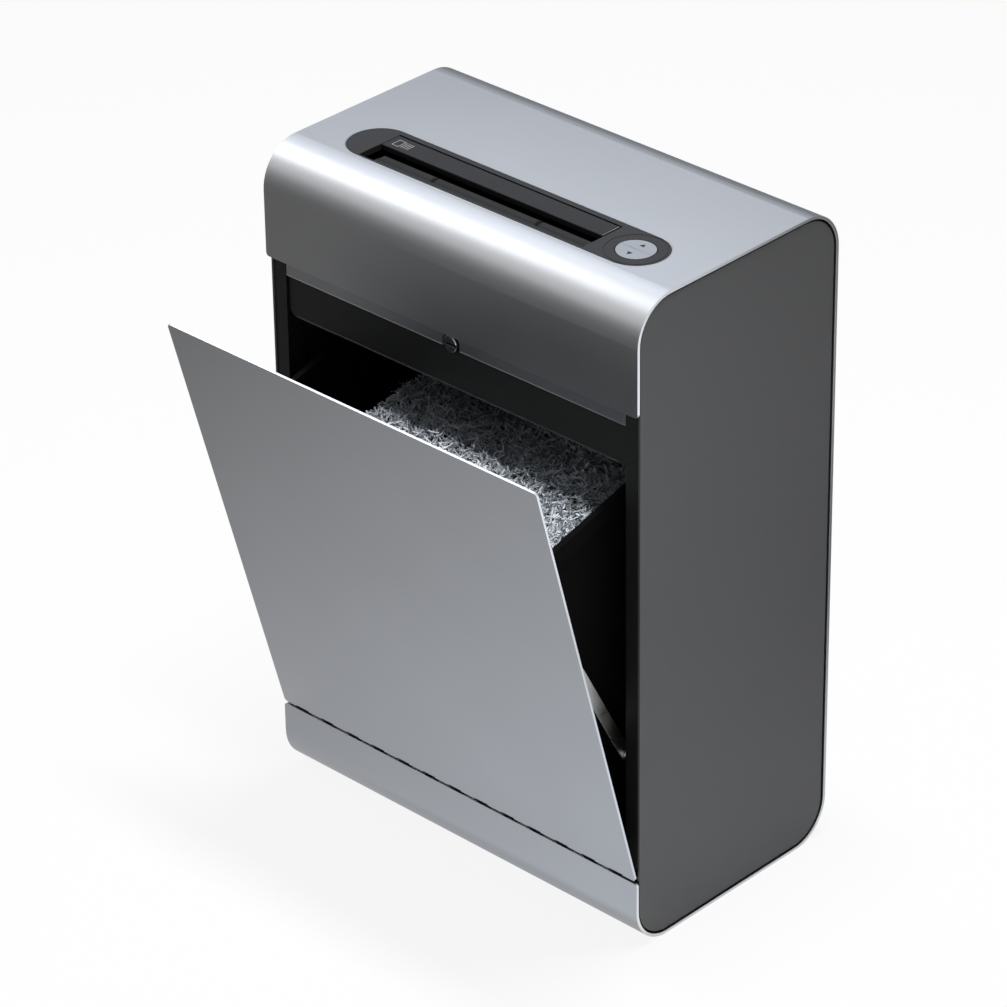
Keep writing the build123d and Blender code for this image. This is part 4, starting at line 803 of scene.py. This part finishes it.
def camera_matrix():
    """Place and turn of the camera: back from the cabinet's middle along its view, rolled and slid aside."""
    back = Vector((sin(CAMERA_AZIMUTH) * cos(CAMERA_ELEVATION), -cos(CAMERA_AZIMUTH) * cos(CAMERA_ELEVATION),
                   sin(CAMERA_ELEVATION)))
    right = Vector((cos(CAMERA_AZIMUTH), sin(CAMERA_AZIMUTH), 0.0))
    up = back.cross(right)
    level_right = cos(CAMERA_ROLL) * right + sin(CAMERA_ROLL) * up
    level_up = cos(CAMERA_ROLL) * up - sin(CAMERA_ROLL) * right
    aim = Vector((0.0, 0.0, band_high[2] / 2))
    place = aim + back * CAMERA_DISTANCE + level_right * CAMERA_SIDE + level_up * CAMERA_RISE
    turn = Matrix((level_right, level_up, back)).transposed()
    return Matrix.Translation(place) @ turn.to_4x4()


camera_data = bpy.data.cameras.new("camera")
camera_data.sensor_width = SENSOR
camera_data.lens = FOCAL_PIXELS * SENSOR / PHOTO_SIDE
camera_data.clip_end = CAMERA_REACH
camera = bpy.data.objects.new("camera", camera_data)
camera.matrix_world = camera_matrix()
bpy.context.scene.collection.objects.link(camera)
bpy.context.scene.camera = camera


# Floor and light

WHITE = (1.0, 1.0, 1.0)
COOL_WHITE = (0.915, 0.972, 1.07)
BACKDROP_WHITE = (0.97, 0.985, 1.0, 1.0)
SOFT_LIGHT = 0.115
CARD_HEIGHT = 0.5 * MM
FLOOR_DROP = 0.2 * MM
FLOOR_REACH = 14.0
FLOOR_COLOUR = (0.86, 0.86, 0.86, 1.0)
FLOOR_WHITENESS = 0.90


def lamp(name, place, aim, size, brightness, mirrored=True):
    """A soft rectangular lamp at a place, turned to an aim; its power is brightness times pi times its area.

    Shiny surfaces show the lamp itself only where mirrored is set.
    """
    light = bpy.data.lights.new(name, "AREA")
    light.shape = "RECTANGLE"
    light.size, light.size_y = size
    light.energy = brightness * pi * size[0] * size[1]
    holder = bpy.data.objects.new(name, light)
    holder.location = place
    holder.visible_glossy = mirrored
    holder.rotation_euler = (Vector(aim) - Vector(place)).to_track_quat("-Z", "Y").to_euler()
    bpy.context.scene.collection.objects.link(holder)


def seen_directly(tree):
    """One for camera, glossy and transmission rays, and zero for the rays that carry soft light about.

    A ray that has left a matt surface carries soft light, also where it goes on by way of a shiny one.
    """
    rays = tree.nodes.new("ShaderNodeLightPath").outputs
    shown = arithmetic(tree, "MAXIMUM", rays["Is Camera Ray"], rays["Is Glossy Ray"])
    shown = arithmetic(tree, "MAXIMUM", shown, rays["Is Transmission Ray"])
    return arithmetic(tree, "MULTIPLY", shown, arithmetic(tree, "LESS_THAN", rays["Diffuse Depth"], 0.5))


def deep_sheet(first, second, front, back):
    """Corners of a sheet between two edges, each an (x, z), that both run along Y from front to back."""
    return [(first[0], front, first[1]), (first[0], back, first[1]),
            (second[0], back, second[1]), (second[0], front, second[1])]


def upright_sheet(start, end, height):
    """Corners of a sheet that stands on the floor from one (x, y) to another, up to a height."""
    return [(*start, 0.0), (*start, height), (*end, height), (*end, 0.0)]


def stage_sheet(name, corners):
    """A flat sheet of the studio between four corners, with an empty material.

    It gives the sheet, and its material's tree, shader and coordinates.
    """
    mesh = bpy.data.meshes.new(name)
    mesh.from_pydata(corners, [], [(0, 1, 2, 3)])
    sheet = bpy.data.objects.new(name, mesh)
    bpy.context.scene.collection.objects.link(sheet)
    material, tree, shader, coords = new_finish(name)
    mesh.materials.append(material)
    return sheet, tree, shader, coords


def pale_floor():
    """The floor: matt and pale, and lifted towards white by a share where it is seen directly."""
    corners = deep_sheet((FLOOR_REACH, -FLOOR_DROP), (-FLOOR_REACH, -FLOOR_DROP), -FLOOR_REACH, FLOOR_REACH)
    _, tree, shader, _ = stage_sheet("floor", corners)
    shader.inputs["Base Color"].default_value = FLOOR_COLOUR
    shader.inputs["Roughness"].default_value = 0.9
    shader.inputs["Specular IOR Level"].default_value = 0.0
    white = tree.nodes.new("ShaderNodeEmission")
    lifted = tree.nodes.new("ShaderNodeMixShader")
    tree.links.new(arithmetic(tree, "MULTIPLY", seen_directly(tree), FLOOR_WHITENESS), lifted.inputs["Fac"])
    tree.links.new(shader.outputs["BSDF"], lifted.inputs[1])
    tree.links.new(white.outputs["Emission"], lifted.inputs[2])
    tree.links.new(lifted.outputs["Shader"], tree.nodes["Material Output"].inputs["Surface"])


def reflection_card(name, corners, centre, near, far, reach, far_colour=WHITE):
    """A card that only reflections show.

    Its brightness runs straight from near at a centre to far at a reach, and its colour from cool white to
    far_colour.
    """
    card, tree, _, coords = stage_sheet(name, corners)
    card.visible_camera = False
    card.visible_diffuse = False
    card.visible_shadow = False
    card.visible_transmission = False
    away = tree.nodes.new("ShaderNodeVectorMath")
    away.operation = "DISTANCE"
    tree.links.new(coords, away.inputs[0])
    away.inputs[1].default_value = centre
    glow = tree.nodes.new("ShaderNodeEmission")
    strength = between(tree, away.outputs["Value"], near, far, end=reach)
    tree.links.new(arithmetic(tree, "MULTIPLY", strength, seen_directly(tree)), glow.inputs["Strength"])
    fall = between(tree, away.outputs["Value"], low=0.0, high=1.0, end=reach)
    tree.links.new(blend_colour(tree, fall, COOL_WHITE, far_colour), glow.inputs["Color"])
    tree.links.new(glow.outputs["Emission"], tree.nodes["Material Output"].inputs["Surface"])


pale_floor()

# Cards as a studio uses them to shade bright metal. In front, one lies on the floor, bright under the right
# front corner and dark further out, and one stands to the front left behind it. One under the cabinet shades
# the lip's lower bend.
reflection_card("lying_card", deep_sheet((0.60, CARD_HEIGHT), (-3.4, CARD_HEIGHT), front=-3.2, back=-0.125),
                centre=(0.25, -0.10, 0.0), near=0.97, far=0.19, reach=1.07)
reflection_card("contact_card",
                deep_sheet((-0.24, CARD_HEIGHT), (0.21, CARD_HEIGHT), front=-0.125, back=0.12),
                centre=(0.0, 0.0, 0.0), near=0.58, far=0.66, reach=0.3)
reflection_card("standing_card", upright_sheet((0.1, -3.4), (-3.4, -0.3), height=1.3),
                centre=(-1.65, -1.85, 1.6), near=0.52, far=0.17, reach=1.5)

# Two on the right give the side panel its fall from front to back
reflection_card("side_card", deep_sheet((0.5, 0.0), (0.5, 0.7), front=0.0, back=1.4),
                centre=(0.5, 0.1, 0.25), near=2.3, far=0.0, reach=0.32)
reflection_card("side_floor_card", deep_sheet((0.21, CARD_HEIGHT), (0.5, CARD_HEIGHT), front=-0.06, back=0.7),
                centre=(0.4, 0.0, 0.0), near=1.25, far=0.0, reach=0.42)

# One at the back left shades the top, and a leaning one high on the left gives the upper bend its bright band
reflection_card("back_card", upright_sheet((-1.28, 0.0), (0.0, 1.26), height=1.9),
                centre=(-0.72, 0.55, 1.9), near=3.16, far=0.22, reach=1.2, far_colour=COOL_WHITE)
reflection_card("bend_card", deep_sheet((-2.244, 2.016), (-1.456, 2.784), front=-1.2, back=1.0),
                centre=(-1.95, -0.1, 2.3), near=5.8, far=2.2, reach=1.2)

world = bpy.data.worlds.new("studio")
bpy.context.scene.world = world
world.use_nodes = True
backdrop = world.node_tree.nodes["Background"]
backdrop.inputs["Color"].default_value = BACKDROP_WHITE
shown_white = between(world.node_tree, seen_directly(world.node_tree), low=SOFT_LIGHT, high=1.0)
world.node_tree.links.new(shown_white, backdrop.inputs["Strength"])

# A wide lamp from the left, a narrow one overhead that draws the shade line on the heap, and a low fill
lamp("left_softbox", place=(-1.85, -0.1, 2.4), aim=(0.0, -0.1, 0.5), size=(2.2, 1.1), brightness=1.2,
     mirrored=False)
lamp("overhead_softbox", place=(0.28, -0.05, 3.0), aim=(0.20, -0.05, 0.4), size=(0.30, 1.2), brightness=78.0,
     mirrored=False)
lamp("side_fill", place=(1.2, -1.2, 0.30), aim=(0.19, -0.05, 0.3), size=(0.6, 0.5), brightness=1.9)

view = bpy.context.scene.view_settings
view.view_transform = "Standard"
